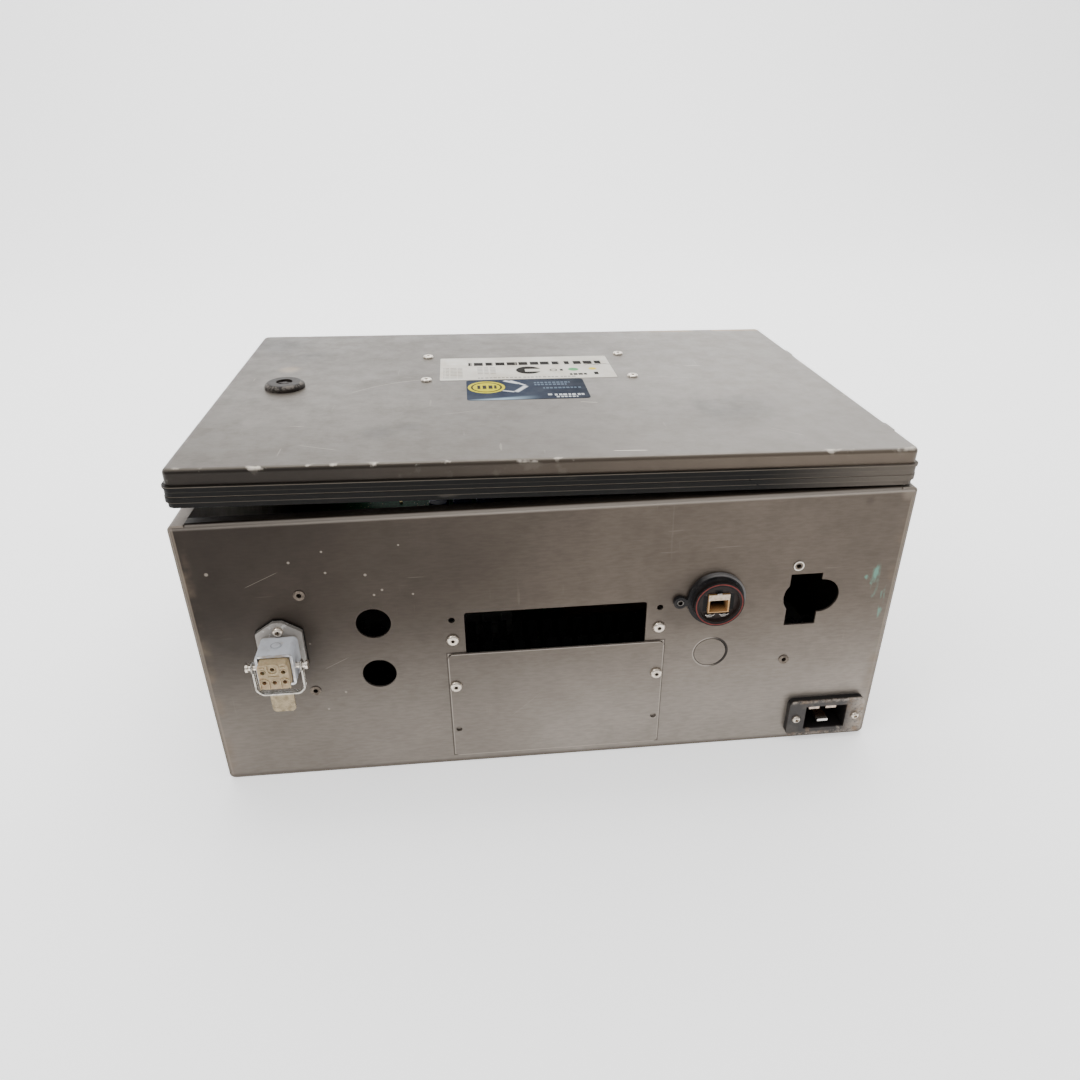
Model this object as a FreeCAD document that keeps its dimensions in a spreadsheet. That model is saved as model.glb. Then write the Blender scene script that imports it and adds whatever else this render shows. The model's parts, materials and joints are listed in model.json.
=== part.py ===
"""Steel controller cabinet of a collaborative robot, lying on its back with the door on top.

Millimetres. The origin is the centre of the back panel's outer face, on which the cabinet rests.
+Z points up through the door, -Y out of the connector panel and +X towards the hinges. The door and
everything on it are drawn closed, then turned about the hinge pins to stand slightly ajar.
"""

import FreeCAD, Part
import math
import os
import re
import Sketcher
from FreeCAD import Placement, Rotation, Vector

DIMENSIONS = {
    # sheet metal case
    "case_width": 475,
    "case_depth": 313.5,
    "case_height": 207.4,
    "sheet_gauge": 1.5,
    "rim_width": 10,
    "corner_bend": 4,
    "rim_bend": 3,
    "wall_hole_span_wide": 400,
    "wall_hole_span_deep": 260,
    "wall_hole_radius": 4.25,
    # holes of the connector panel, heights above the base
    "gland_column": -121,
    "gland_upper": 127,
    "gland_lower": 85.5,
    "gland_hole_radius": 11.6,
    "side_hole_span": 332,
    "side_hole_upper": 152.5,
    "side_hole_pitch": 78,
    "knockout_column": 110.8,
    "knockout_height": 85.3,
    "knockout_radius": 11.7,
    "knockout_gap": 0.45,
    "knockout_tab": 2.4,
    "slot_left": -60.8,
    "slot_right": 63.5,
    "slot_bottom": 56,
    "slot_top": 131,
    "slot_corner": 2,
    "key_height": 127.4,
    "key_lobe_left": 173.8,
    "key_lobe_left_radius": 15,
    "key_lobe_right": 184.6,
    "key_lobe_right_radius": 13.3,
    "key_left": 162,
    "key_right": 184.1,
    "key_bottom": 104.3,
    "key_top": 145.8,
    # cover plate and its screws
    "plate_centre": 1.75,
    "plate_width": 150.5,
    "plate_bottom": 7,
    "plate_top": 98.2,
    "plate_corner": 4,
    "plate_screw_span": 142,
    "plate_screw_height": 71.4,
    "plate_hole_height": 32.1,
    "panel_screw_height": 109.9,
    "spare_hole_height": 125.8,
    "screw_hole_radius": 2.2,
    "screw_head_radius": 4.25,
    "screw_head_height": 2.4,
    "screw_radius": 2,
    "screw_length": 9,
    "socket_flats": 2.5,
    "nut_flats": 7,
    "nut_thickness": 3.2,
    "rivet_nut_radius": 2.9,
    "rivet_nut_flange": 3.7,
    "rivet_nut_rim": 0.6,
    "rivet_nut_length": 9,
    "rivet_nut_bore": 1.65,
    # rear panel vents
    "vent_column": 120,
    "vent_bottom": 82,
    "vent_width": 70,
    "vent_height": 4,
    "vent_pitch": 9,
    "vent_rows": 7,
    # door and seal, drawn closed
    "door_width": 470,
    "door_depth": 309,
    "door_top": 233,
    "door_flange_bottom": 214,
    "door_corner": 5,
    "door_bend": 3,
    "door_ajar": 1.24,
    "rivet_span_wide": 164,
    "rivet_near": 9.25,
    "rivet_far": 73.75,
    "rivet_hole_radius": 2.05,
    "rivet_head": 4.4,
    "rivet_head_height": 1.8,
    "rivet_tail": 3.4,
    "rivet_tail_height": 1.6,
    "rivet_mandrel": 1.1,
    "seal_top": 222.5,
    "seal_lip": 1.5,
    "seal_lip_out": 2,
    "seal_band_bottom": 215.3,
    "seal_band_out": 1.2,
    "seal_bulb_bottom": 211.7,
    "seal_bulb_out": 1.6,
    "seal_bottom": 208.1,
    "seal_foot_out": 0.4,
    "seal_thickness": 5.5,
    # stickers on the door
    "sticker_thickness": 0.2,
    "label_left": -71.5,
    "label_near": 7.75,
    "label_width": 141,
    "label_depth": 61,
    "card_left": -51,
    "card_near": -41.25,
    "card_width": 91.7,
    "card_depth": 47.5,
    # hinges
    "hinge_column": 241.5,
    "hinge_height": 216,
    "hinge_barrel": 4,
    "hinge_pin": 2,
    "pin_clearance": 0.05,
    "hinge_length": 50,
    "knuckle_length": 14,
    "knuckle_gap": 0.3,
    "hinge_spacing": 190,
    "leaf_gauge": 2,
    "leaf_bottom": 188,
    # lock
    "lock_column": -189,
    "lock_flange": 15,
    "lock_dome": 4.5,
    "lock_thread": 10,
    "lock_body_length": 22,
    "lock_bore": 6.05,
    "lock_barrel": 6,
    "lock_flats": 27,
    "lock_nut_thickness": 5,
    "cam_top": 204.5,
    "cam_thickness": 3,
    "cam_width": 14,
    "cam_reach": 44,
    "cam_heel": 9,
    "cam_square": 7,
    "bit_post": 2.4,
    "bit_span": 8.8,
    "bit_gauge": 1.8,
    # heavy-duty connector
    "plug_column": -182.6,
    "plug_height": 112.3,
    "plug_plate_width": 30.2,
    "plug_plate_shoulder": 14.4,
    "plug_plate_apex": 22.3,
    "plug_plate_tip": 3.2,
    "plug_plate": 3,
    "plug_gasket": 1,
    "plug_screw_pitch": 31.6,
    "plug_housing": 24,
    "plug_bore": 20.6,
    "plug_reach": 25,
    "insert_width": 19.2,
    "insert_face": -7,
    "insert_depth": 43,
    "insert_collar": 4,
    "contact_radius": 1.5,
    "contact_bore": 1,
    "contact_pitch": 6.5,
    "contact_top": 6,
    "contact_side": 3.6,
    "contact_low": 4.2,
    "peg_radius": 2,
    "peg_head": 3,
    "peg_cap": 1.6,
    "peg_reach": 19.8,
    "lever_pivot": 20,
    "lever_inside": 15,
    "lever_gauge": 1.2,
    "lever_strap": 4,
    "lever_radius": 21.5,
    "lever_tab_width": 15.2,
    "lever_tab_end": 35.8,
    # round network port
    "port_column": 110.8,
    "port_height": 131,
    "port_flange": 20,
    "port_flange_thickness": 3,
    "port_face": 17.1,
    "port_reach": 9,
    "port_recess": 14.2,
    "port_recess_depth": 3,
    "port_thread": 13.5,
    "port_thread_length": 14,
    "port_ring": 15.9,
    "port_ring_section": 0.5,
    "port_nut_flats": 34,
    "jack_width": 14.5,
    "jack_height": 14,
    "jack_depth": 20,
    "jack_inset": 1.2,
    "jack_mouth_width": 12.6,
    "jack_mouth_height": 9,
    "jack_mouth_sill": 0.7,
    # mains inlet
    "inlet_column": 203.3,
    "inlet_height": 21.8,
    "inlet_width": 57,
    "inlet_tall": 32,
    "inlet_thickness": 5,
    "inlet_body_width": 36.6,
    "inlet_body_tall": 25,
    "inlet_body_depth": 30,
    "inlet_mouth_width": 31.4,
    "inlet_mouth_tall": 20.8,
    "inlet_mouth_depth": 24,
    "inlet_screw_span": 45,
    "blade_width": 8,
    "blade_thickness": 2,
    "blade_length": 18,
    "blade_pitch": 13,
    "blade_rise": 4,
    "blade_drop": 5.6,
    "earth_blade_lead": 3,
    # mounting plate
    "tray_width": 450,
    "tray_front": -118,
    "tray_back": 150,
    "tray_floor": 12,
    "tray_gauge": 2,
    "stud_radius": 3,
    "stud_span_wide": 420,
    "stud_span_deep": 242,
    # power supplies
    "supply_width": 98,
    "supply_length": 176,
    "supply_height": 42,
    "supply_left": -222,
    "supply_gap": 4,
    "supply_front": -46,
    "small_supply_width": 52,
    "small_supply_length": 84,
    "small_supply_height": 40,
    "small_supply_left": 166,
    "small_supply_front": 46,
    # brake resistor, line filter, duct
    "brake_left": 176,
    "brake_front": -40,
    "brake_width": 40,
    "brake_length": 84,
    "brake_height": 34,
    "fin_depth": 8,
    "filter_left": 150,
    "filter_front": -96,
    "filter_width": 66,
    "filter_length": 48,
    "filter_height": 36,
    "duct_left": -222,
    "duct_front": -86,
    "duct_length": 330,
    "duct_width": 30,
    "duct_height": 40,
    "duct_gauge": 2,
    "duct_slot": 5,
    # computer board
    "board_gauge": 1.6,
    "computer_left": -8,
    "computer_front": -46,
    "computer_side": 170,
    "computer_lift": 6,
    "sink_side": 70,
    "sink_base": 6,
    "sink_height": 30,
    "sink_fins": 11,
    "cooler_side": 60,
    "cooler_depth": 15,
    # safety control board above the supplies
    "control_left": -222,
    "control_front": -46,
    "control_width": 200,
    "control_length": 190,
    "control_floor": 76,
    "post_radius": 3,
    "post_pin": 1.6,
    "terminal_length": 28,
    "terminal_depth": 12,
    "terminal_height": 14,
    # case fan and earth stud
    "fan_height": 111,
    "fan_side": 80,
    "fan_depth": 25,
    "earth_column": -120,
    "earth_row": -138,
    "earth_radius": 3,
    "earth_length": 20,
}

doc = FreeCAD.newDocument("controller_cabinet")
dims = doc.addObject("Spreadsheet::Sheet", "dims")
for row, (alias, size) in enumerate(DIMENSIONS.items(), 1):
    dims.set(f"A{row}", alias)
    dims.set(f"B{row}", str(size))
    dims.setAlias(f"B{row}", alias)
doc.recompute()

ALONG = {
    "x": Rotation(Vector(0, 0, 1), Vector(1, 0, 0)),
    "y": Rotation(Vector(0, 0, 1), Vector(0, 1, 0)),
    "z": Rotation(),
    "-y": Rotation(Vector(0, 0, 1), Vector(0, -1, 0)),
}
FRONT = "-case_depth / 2"
LEVER_ROW = "-case_depth / 2 - lever_pivot"
ARC_SHARE = 0.45
RIVET_ROUNDING = 1.4
LOCK_ROUNDING = 3.6
FAN_BLADES = 7
FAN_LEAN = 32
parts = {}


def value(alias):
    """A driving dimension as the sheet holds it."""
    return float(getattr(dims, alias))


def bound(text):
    """The text as an expression, with each alias read from the sheet."""
    return re.sub(
        r"[a-z]+(_[a-z]+)+",
        lambda word: f"dims.{word.group()}" if word.group() in DIMENSIONS else word.group(),
        str(text),
    )


def move(piece, corner):
    """Bind a piece's place to three expressions."""
    for axis, text in zip("xyz", corner):
        piece.setExpression(f"Placement.Base.{axis}", bound(text))


def sized_block(size):
    """A block of three sizes at the origin."""
    block = doc.addObject("Part::Box", "block")
    for name, text in zip(("Length", "Width", "Height"), size):
        block.setExpression(name, bound(text))
    return block


def box(corner, size):
    """A block from its lowest corner and its three sizes."""
    block = sized_block(size)
    move(block, corner)
    return block


def rod(foot, radius, length, axis="z"):
    """A cylinder from the centre of its foot, along an axis."""
    cylinder = doc.addObject("Part::Cylinder", "rod")
    cylinder.setExpression("Radius", bound(radius))
    cylinder.setExpression("Height", bound(length))
    cylinder.Placement = Placement(Vector(), ALONG[axis])
    move(cylinder, foot)
    return cylinder


def hexagon(foot, flats, length, axis="z"):
    """A hexagonal prism, given across its flats."""
    prism = doc.addObject("Part::Prism", "hexagon")
    prism.Polygon = 6
    prism.setExpression("Circumradius", bound(f"({flats}) / sqrt(3)"))
    prism.setExpression("Height", bound(length))
    prism.Placement = Placement(Vector(), ALONG[axis])
    move(prism, foot)
    return prism


def fuse(*pieces):
    """One solid from several."""
    joined = doc.addObject("Part::MultiFuse", "fuse")
    joined.Shapes = list(pieces)
    return joined


def cut(base, *tools):
    """A base with every tool taken out of it."""
    remainder = doc.addObject("Part::Cut", "cut")
    remainder.Base = base
    remainder.Tool = tools[0] if len(tools) == 1 else group(*tools)
    return remainder


def group(*pieces):
    """Several solids kept apart in one object."""
    compound = doc.addObject("Part::Compound", "group")
    compound.Links = list(pieces)
    return compound


def straight_edges(shape, direction, chosen):
    """Numbers of a shape's straight edges along a direction whose middle is chosen."""
    numbers = []
    for number, edge in enumerate(shape.Edges, 1):
        if edge.Curve.TypeId != "Part::GeomLine":
            continue
        if abs(edge.tangentAt(edge.FirstParameter).dot(direction)) > 0.999 and chosen(edge.CenterOfMass):
            numbers.append(number)
    return numbers


def rounded(piece, radius, direction=Vector(0, 0, 1), chosen=lambda middle: True):
    """A piece with its straight edges along a direction rounded, radius in millimetres."""
    doc.recompute()
    fillet = doc.addObject("Part::Fillet", "rounded")
    fillet.Base = piece
    fillet.Edges = [(number, radius, radius) for number in straight_edges(piece.Shape, direction, chosen)]
    return fillet


def rim_rounded(piece, radius, height):
    """A piece with every edge at one height along its own Z rounded."""
    doc.recompute()
    fillet = doc.addObject("Part::Fillet", "rim")
    fillet.Base = piece
    level = [
        number
        for number, edge in enumerate(piece.Shape.Edges, 1)
        if abs(edge.BoundBox.ZMin - height) < 1e-4 and abs(edge.BoundBox.ZMax - height) < 1e-4
    ]
    fillet.Edges = [(number, radius, radius) for number in level]
    return fillet


def stand(piece, foot, axis="z"):
    """Turn a piece drawn along +Z to an axis, and put its origin at a foot."""
    piece.Placement = Placement(Vector(), ALONG[axis])
    move(piece, foot)
    return piece


def node(label, piece):
    """Register a finished sub-part under the name of its file."""
    piece.Label = label
    parts[label] = piece
    return piece


def hang_on_door(label, piece):
    """Register a sub-part drawn on the closed door, and turn it ajar about the hinge pins."""
    carried = group(piece) if piece.TypeId != "PartDesign::Body" else piece
    hinge = Vector(value("hinge_column"), 0, value("hinge_height"))
    carried.Placement = Placement(Vector(), Rotation(Vector(0, 1, 0), value("door_ajar")), hinge)
    return node(label, carried)


# ---- PartDesign helpers ----------------------------------------------------------------------------


def new_body(name):
    """An empty body."""
    return doc.addObject("PartDesign::Body", name)


def sketch_on(body, role, offset="0"):
    """A sketch on one of the body's own planes, moved along that plane's normal."""
    sketch = body.newObject("Sketcher::SketchObject", "sketch")
    plane = next(feature for feature in body.Origin.OriginFeatures if feature.Role == role)
    sketch.AttachmentSupport = [(plane, "")]
    sketch.MapMode = "FlatFace"
    sketch.setExpression("AttachmentOffset.Base.z", bound(offset))
    return sketch


def polygon(sketch, corners):
    """A closed outline whose corners are pairs of expressions."""
    count = len(corners)
    start = [
        Vector(math.cos(2 * math.pi * turn / count), math.sin(2 * math.pi * turn / count), 0)
        for turn in range(count)
    ]
    lines = [
        sketch.addGeometry(Part.LineSegment(start[place], start[(place + 1) % count]), False)
        for place in range(count)
    ]
    for place, line in enumerate(lines):
        sketch.addConstraint(Sketcher.Constraint("Coincident", line, 2, lines[(place + 1) % count], 1))
    for line, point, corner in zip(lines, start, corners):
        for kind, begin, text in (("DistanceX", point.x, corner[0]), ("DistanceY", point.y, corner[1])):
            number = sketch.addConstraint(Sketcher.Constraint(kind, -1, 1, line, 1, begin))
            sketch.setExpression(f"Constraints[{number}]", bound(text))


def rectangle(sketch, low, high):
    """A rectangle from its low and high corners."""
    polygon(sketch, [(low[0], low[1]), (high[0], low[1]), (high[0], high[1]), (low[0], high[1])])


def circle(sketch, centre, radius):
    """A circle whose centre and radius are expressions."""
    ring = sketch.addGeometry(Part.Circle(Vector(1, 1, 0), Vector(0, 0, 1), 1), False)
    for kind, text in (("DistanceX", centre[0]), ("DistanceY", centre[1])):
        number = sketch.addConstraint(Sketcher.Constraint(kind, -1, 1, ring, 3, 1))
        sketch.setExpression(f"Constraints[{number}]", bound(text))
    number = sketch.addConstraint(Sketcher.Constraint("Radius", ring, 1))
    sketch.setExpression(f"Constraints[{number}]", bound(radius))


def pad(body, sketch, length, backwards=False):
    """Add material along the sketch's normal, or against it."""
    feature = body.newObject("PartDesign::Pad", "pad")
    feature.Profile = sketch
    feature.setExpression("Length", bound(length))
    feature.Reversed = backwards
    body.Tip = feature
    return feature


def pocket(body, sketch, depth, forwards=False):
    """Take material away against the sketch's normal, or along it, and check that some went."""
    doc.recompute()
    before = body.Shape.Volume
    feature = body.newObject("PartDesign::Pocket", "pocket")
    feature.Profile = sketch
    feature.setExpression("Length", bound(depth))
    feature.Reversed = forwards
    body.Tip = feature
    doc.recompute()
    if body.Shape.Volume > before - 1e-6:
        raise RuntimeError(f"{body.Name}: a pocket cuts nothing")
    return feature


def fillet(body, radius, direction, chosen):
    """Round a body's straight edges along a direction."""
    doc.recompute()
    base = body.Tip
    numbers = straight_edges(base.Shape, direction, chosen)
    feature = body.newObject("PartDesign::Fillet", "bend")
    feature.Base = (base, [f"Edge{number}" for number in numbers])
    feature.setExpression("Radius", bound(radius))
    body.Tip = feature
    return feature


X_AXIS = Vector(1, 0, 0)
Y_AXIS = Vector(0, 1, 0)
Z_AXIS = Vector(0, 0, 1)


# ---- case ------------------------------------------------------------------------------------------


def build_case_wrap():
    """Back, side walls and side rims, folded from one sheet."""
    body = new_body("wrap_body")
    side = "case_width / 2"
    wall = "(case_width / 2 - sheet_gauge)"
    lip = "(case_width / 2 - rim_width)"
    under = "case_height - sheet_gauge"
    right = [
        (side, "0"),
        (side, "case_height"),
        (lip, "case_height"),
        (lip, under),
        (wall, under),
        (wall, "sheet_gauge"),
    ]
    left = [(f"-{across}", height) for across, height in reversed(right)]
    sketch = sketch_on(body, "XZ_Plane", FRONT)
    polygon(sketch, right + left)
    pad(body, sketch, "case_depth")
    low = value("sheet_gauge") + 0.1
    wall_x = value("case_width") / 2 - value("sheet_gauge") - 0.1
    fillet(body, "corner_bend", Y_AXIS, lambda m: m.z < 0.1 and abs(m.x) > wall_x)
    fillet(body, "corner_bend - sheet_gauge", Y_AXIS, lambda m: 0.1 < m.z < low and abs(m.x) > wall_x - 1)
    top = value("case_height") - 0.1
    fillet(body, "rim_bend", Y_AXIS, lambda m: m.z > top and abs(m.x) > wall_x)
    fillet(
        body,
        "rim_bend - sheet_gauge",
        Y_AXIS,
        lambda m: top - value("sheet_gauge") - 0.2 < m.z < top and abs(m.x) > wall_x - 1,
    )
    holes = sketch_on(body, "XY_Plane", "sheet_gauge")
    for across in ("-", ""):
        for along in ("-", ""):
            circle(
                holes,
                (f"{across}wall_hole_span_wide / 2", f"{along}wall_hole_span_deep / 2"),
                "wall_hole_radius",
            )
    pocket(body, holes, "2 * sheet_gauge")
    return node("case_wrap", body)


def end_panel(name, outward):
    """A panel between the side walls with a rim folded inwards, outward being -1 or 1 along Y."""
    body = new_body(name)
    edge = "(case_width / 2 - sheet_gauge)"
    face = f"{outward} * case_depth / 2"
    inner = f"{outward} * (case_depth / 2 - sheet_gauge)"
    lip = f"{outward} * (case_depth / 2 - rim_width)"
    under = "case_height - sheet_gauge"
    sketch = sketch_on(body, "YZ_Plane", f"-{edge}")
    polygon(
        sketch,
        [
            (face, "sheet_gauge"),
            (face, "case_height"),
            (lip, "case_height"),
            (lip, under),
            (inner, under),
            (inner, "sheet_gauge"),
        ],
    )
    pad(body, sketch, f"2 * {edge}")
    notch = sketch_on(body, "XY_Plane", "case_height")
    for low, high in (("-", "-"), ("", "")):
        near = f"{low}(case_width / 2 - rim_width)"
        far = f"{high}(case_width / 2)"
        rectangle(
            notch, (near, f"{outward} * (case_depth / 2 - 2 * rim_width)"), (far, f"{outward} * case_depth")
        )
    pocket(body, notch, "sheet_gauge")
    top = value("case_height") - 0.1
    half_depth = value("case_depth") / 2
    gauge = value("sheet_gauge")
    fillet(body, "rim_bend", X_AXIS, lambda m: m.z > top and abs(m.y) > half_depth - 0.1)
    fillet(
        body,
        "rim_bend - sheet_gauge",
        X_AXIS,
        lambda m: abs(m.x) < 1 and top - gauge - 0.1 < m.z < top and abs(m.y) > half_depth - gauge - 0.1,
    )
    corner_x = value("case_width") / 2 - gauge - 0.1
    fillet(body, "corner_bend - sheet_gauge", Y_AXIS, lambda m: m.z < gauge + 0.1 and abs(m.x) > corner_x)
    return body


def build_connector_panel():
    """Front panel with all its openings and the knock-out still in place."""
    body = end_panel("panel_body", -1)
    forward = "case_depth / 2"
    through = "2 * sheet_gauge"
    holes = sketch_on(body, "XZ_Plane", forward)
    for height in ("gland_upper", "gland_lower"):
        circle(holes, ("gland_column", height), "gland_hole_radius")
    for side in ("-", ""):
        for height in ("side_hole_upper", "side_hole_upper - side_hole_pitch"):
            circle(holes, (f"{side}side_hole_span / 2", height), "rivet_nut_radius")
        for height in ("plate_screw_height", "panel_screw_height", "spare_hole_height"):
            circle(holes, (f"plate_centre + {side}plate_screw_span / 2", height), "screw_hole_radius")
        circle(holes, ("plug_column", f"plug_height + {side}plug_screw_pitch / 2"), "screw_hole_radius")
        circle(holes, (f"inlet_column + {side}inlet_screw_span / 2", "inlet_height"), "screw_radius")
    circle(holes, ("port_column", "port_height"), "port_thread")
    circle(holes, ("knockout_column", "knockout_height"), "knockout_radius")
    circle(holes, ("knockout_column", "knockout_height"), "knockout_radius - knockout_gap")
    rectangle(holes, ("slot_left", "slot_bottom"), ("slot_right", "slot_top"))
    inlet_half = ("inlet_body_width / 2", "inlet_body_tall / 2")
    rectangle(
        holes,
        (f"inlet_column - {inlet_half[0]}", f"inlet_height - {inlet_half[1]}"),
        (f"inlet_column + {inlet_half[0]}", f"inlet_height + {inlet_half[1]}"),
    )
    rectangle(
        holes,
        ("plug_column - plug_bore / 2", "plug_height - plug_bore / 2"),
        ("plug_column + plug_bore / 2", "plug_height + plug_bore / 2"),
    )
    pocket(body, holes, through)
    key = sketch_on(body, "XZ_Plane", forward)
    rectangle(key, ("key_left", "key_bottom"), ("key_right", "key_top"))
    pocket(body, key, through)
    for side in ("left", "right"):
        lobe = sketch_on(body, "XZ_Plane", forward)
        circle(lobe, (f"key_lobe_{side}", "key_height"), f"key_lobe_{side}_radius")
        pocket(body, lobe, through)
    tab = sketch_on(body, "XZ_Plane", forward)
    rectangle(
        tab,
        ("knockout_column + knockout_radius - 2 * knockout_gap", "knockout_height - knockout_tab / 2"),
        ("knockout_column + knockout_radius + knockout_gap", "knockout_height + knockout_tab / 2"),
    )
    pad(body, tab, "sheet_gauge", backwards=True)
    slot_edges = (value("slot_left"), value("slot_right"))
    fillet(
        body,
        "slot_corner",
        Y_AXIS,
        lambda m: min(abs(m.x - edge) for edge in slot_edges) < 0.1 and m.z > 40,
    )
    return node("connector_panel", body)


def build_rear_panel():
    """Rear panel with two columns of vent slots."""
    body = end_panel("rear_body", 1)
    for side in ("-", ""):
        slot = sketch_on(body, "XZ_Plane", "-case_depth / 2 + sheet_gauge")
        rectangle(
            slot,
            (f"{side}vent_column - vent_width / 2", "vent_bottom"),
            (f"{side}vent_column + vent_width / 2", "vent_bottom + vent_height"),
        )
        first = pocket(body, slot, "2 * sheet_gauge")
        rows = body.newObject("PartDesign::LinearPattern", "rows")
        rows.Originals = [first]
        rows.Direction = (slot, ["V_Axis"])
        rows.setExpression("Length", bound("vent_pitch * (vent_rows - 1)"))
        rows.Occurrences = int(value("vent_rows"))
        body.Tip = rows
    return node("rear_panel", body)


def build_cover_plate():
    """Plate over the cable slot, screwed on one hole pitch low."""
    body = new_body("plate_body")
    sketch = sketch_on(body, "XZ_Plane", "case_depth / 2")
    rectangle(
        sketch,
        ("plate_centre - plate_width / 2", "plate_bottom"),
        ("plate_centre + plate_width / 2", "plate_top"),
    )
    pad(body, sketch, "sheet_gauge")
    fillet(body, "plate_corner", Y_AXIS, lambda m: True)
    holes = sketch_on(body, "XZ_Plane", "case_depth / 2 + sheet_gauge")
    for side in ("-", ""):
        for height in ("plate_screw_height", "plate_hole_height"):
            circle(holes, (f"plate_centre + {side}plate_screw_span / 2", height), "screw_hole_radius")
    pocket(body, holes, "2 * sheet_gauge")
    return node("cover_plate", body)


def button_screw(foot, axis, head_radius="screw_head_radius", length="screw_length"):
    """Domed head with a hexagon socket on a plain shank, its seat at the foot."""
    head = rod(("0", "0", "0"), head_radius, "screw_head_height")
    dome = rim_rounded(head, value("screw_head_height") * 0.8, value("screw_head_height"))
    socket = hexagon(("0", "0", "screw_head_height - 1.5"), "socket_flats", "2")
    shank = rod(("0", "0", f"-({length})"), "screw_radius", length)
    return stand(fuse(cut(dome, socket), shank), foot, axis)


def cover_places():
    """Seats of the four cover screws: two on the plate, two straight on the panel."""
    for side in ("-", ""):
        column = f"plate_centre + {side}plate_screw_span / 2"
        yield column, "-case_depth / 2 - sheet_gauge", "plate_screw_height"
        yield column, FRONT, "panel_screw_height"


def build_panel_fasteners():
    """Cover screws, the nuts held behind them, and the rivet nuts beside the connectors."""
    screws = [button_screw(place, "-y") for place in cover_places()]
    node("panel_screws", group(*screws))
    nuts = []
    for column, _, height in cover_places():
        foot = (column, "-case_depth / 2 + sheet_gauge", height)
        nuts.append(cut(hexagon(foot, "nut_flats", "nut_thickness", "y"),
                        rod(foot, "screw_radius", "nut_thickness", "y")))
    node("captive_nuts", group(*nuts))
    rivets = []
    for side in ("-", ""):
        for height in ("side_hole_upper", "side_hole_upper - side_hole_pitch"):
            column = f"{side}side_hole_span / 2"
            collar = rod((column, "-case_depth / 2 - rivet_nut_rim", height), "rivet_nut_flange",
                         "rivet_nut_rim", "y")
            barrel = rod((column, FRONT, height), "rivet_nut_radius", "rivet_nut_length", "y")
            thread = rod((column, "-case_depth / 2 - rivet_nut_rim", height), "rivet_nut_bore",
                         "rivet_nut_length + rivet_nut_rim", "y")
            rivets.append(cut(fuse(collar, barrel), thread))
    node("rivet_nuts", group(*rivets))


# ---- door ------------------------------------------------------------------------------------------


def build_door_pan():
    """Shallow pan folded from sheet, with the holes of the lock and of four rivets."""
    body = new_body("door_body")
    outline = sketch_on(body, "XY_Plane", "door_flange_bottom")
    rectangle(outline, ("-door_width / 2", "-door_depth / 2"), ("door_width / 2", "door_depth / 2"))
    pad(body, outline, "door_top - door_flange_bottom")
    fillet(body, "door_corner", Z_AXIS, lambda m: True)
    doc.recompute()
    block = body.Tip
    top_edges = [
        f"Edge{number}"
        for number, edge in enumerate(block.Shape.Edges, 1)
        if edge.BoundBox.ZMin > value("door_top") - 0.01
    ]
    bend = body.newObject("PartDesign::Fillet", "bend")
    bend.Base = (block, top_edges)
    bend.setExpression("Radius", bound("door_bend"))
    body.Tip = bend
    doc.recompute()
    shell = body.newObject("PartDesign::Thickness", "shell")
    open_face = next(
        f"Face{number}"
        for number, face in enumerate(bend.Shape.Faces, 1)
        if face.BoundBox.ZMax < value("door_flange_bottom") + 0.01
    )
    shell.Base = (bend, [open_face])
    shell.setExpression("Value", bound("sheet_gauge"))
    shell.Reversed = True
    body.Tip = shell
    holes = sketch_on(body, "XY_Plane", "door_top")
    circle(holes, ("lock_column", "0"), "lock_thread")
    for side in ("-", ""):
        for along in ("rivet_near", "rivet_far"):
            circle(holes, (f"{side}rivet_span_wide / 2", along), "rivet_hole_radius")
    pocket(body, holes, "2 * sheet_gauge")
    return hang_on_door("door_pan", body)


def slab(out, low, high, corner):
    """A block as large as the door plus an overhang on every side, with round corners."""
    block = box(
        (f"-door_width / 2 - ({out})", f"-door_depth / 2 - ({out})", low),
        (f"door_width + 2 * ({out})", f"door_depth + 2 * ({out})", f"{high} - {low}"),
    )
    return rounded(block, corner)


def build_door_seal():
    """Rubber profile pushed over the door's flange: lip, band, bulb and foot."""
    corner = value("door_corner")
    steps = [
        ("seal_lip_out", "(seal_top - seal_lip)", "seal_top"),
        ("seal_band_out", "seal_band_bottom", "(seal_top - seal_lip)"),
        ("seal_bulb_out", "seal_bulb_bottom", "seal_band_bottom"),
        ("seal_foot_out", "seal_bottom", "seal_bulb_bottom"),
    ]
    rings = [slab(out, low, high, corner + value(out)) for out, low, high in steps]
    channel_out = slab("0", "door_flange_bottom", "(seal_top + 1)", corner)
    channel_in = slab("-sheet_gauge", "door_flange_bottom", "(seal_top + 1)", corner - value("sheet_gauge"))
    middle = slab("-seal_thickness", "(seal_bottom - 1)", "(seal_top + 1)", 1)
    seal = cut(fuse(*rings), cut(channel_out, channel_in), middle)
    return hang_on_door("door_seal", seal)


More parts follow.
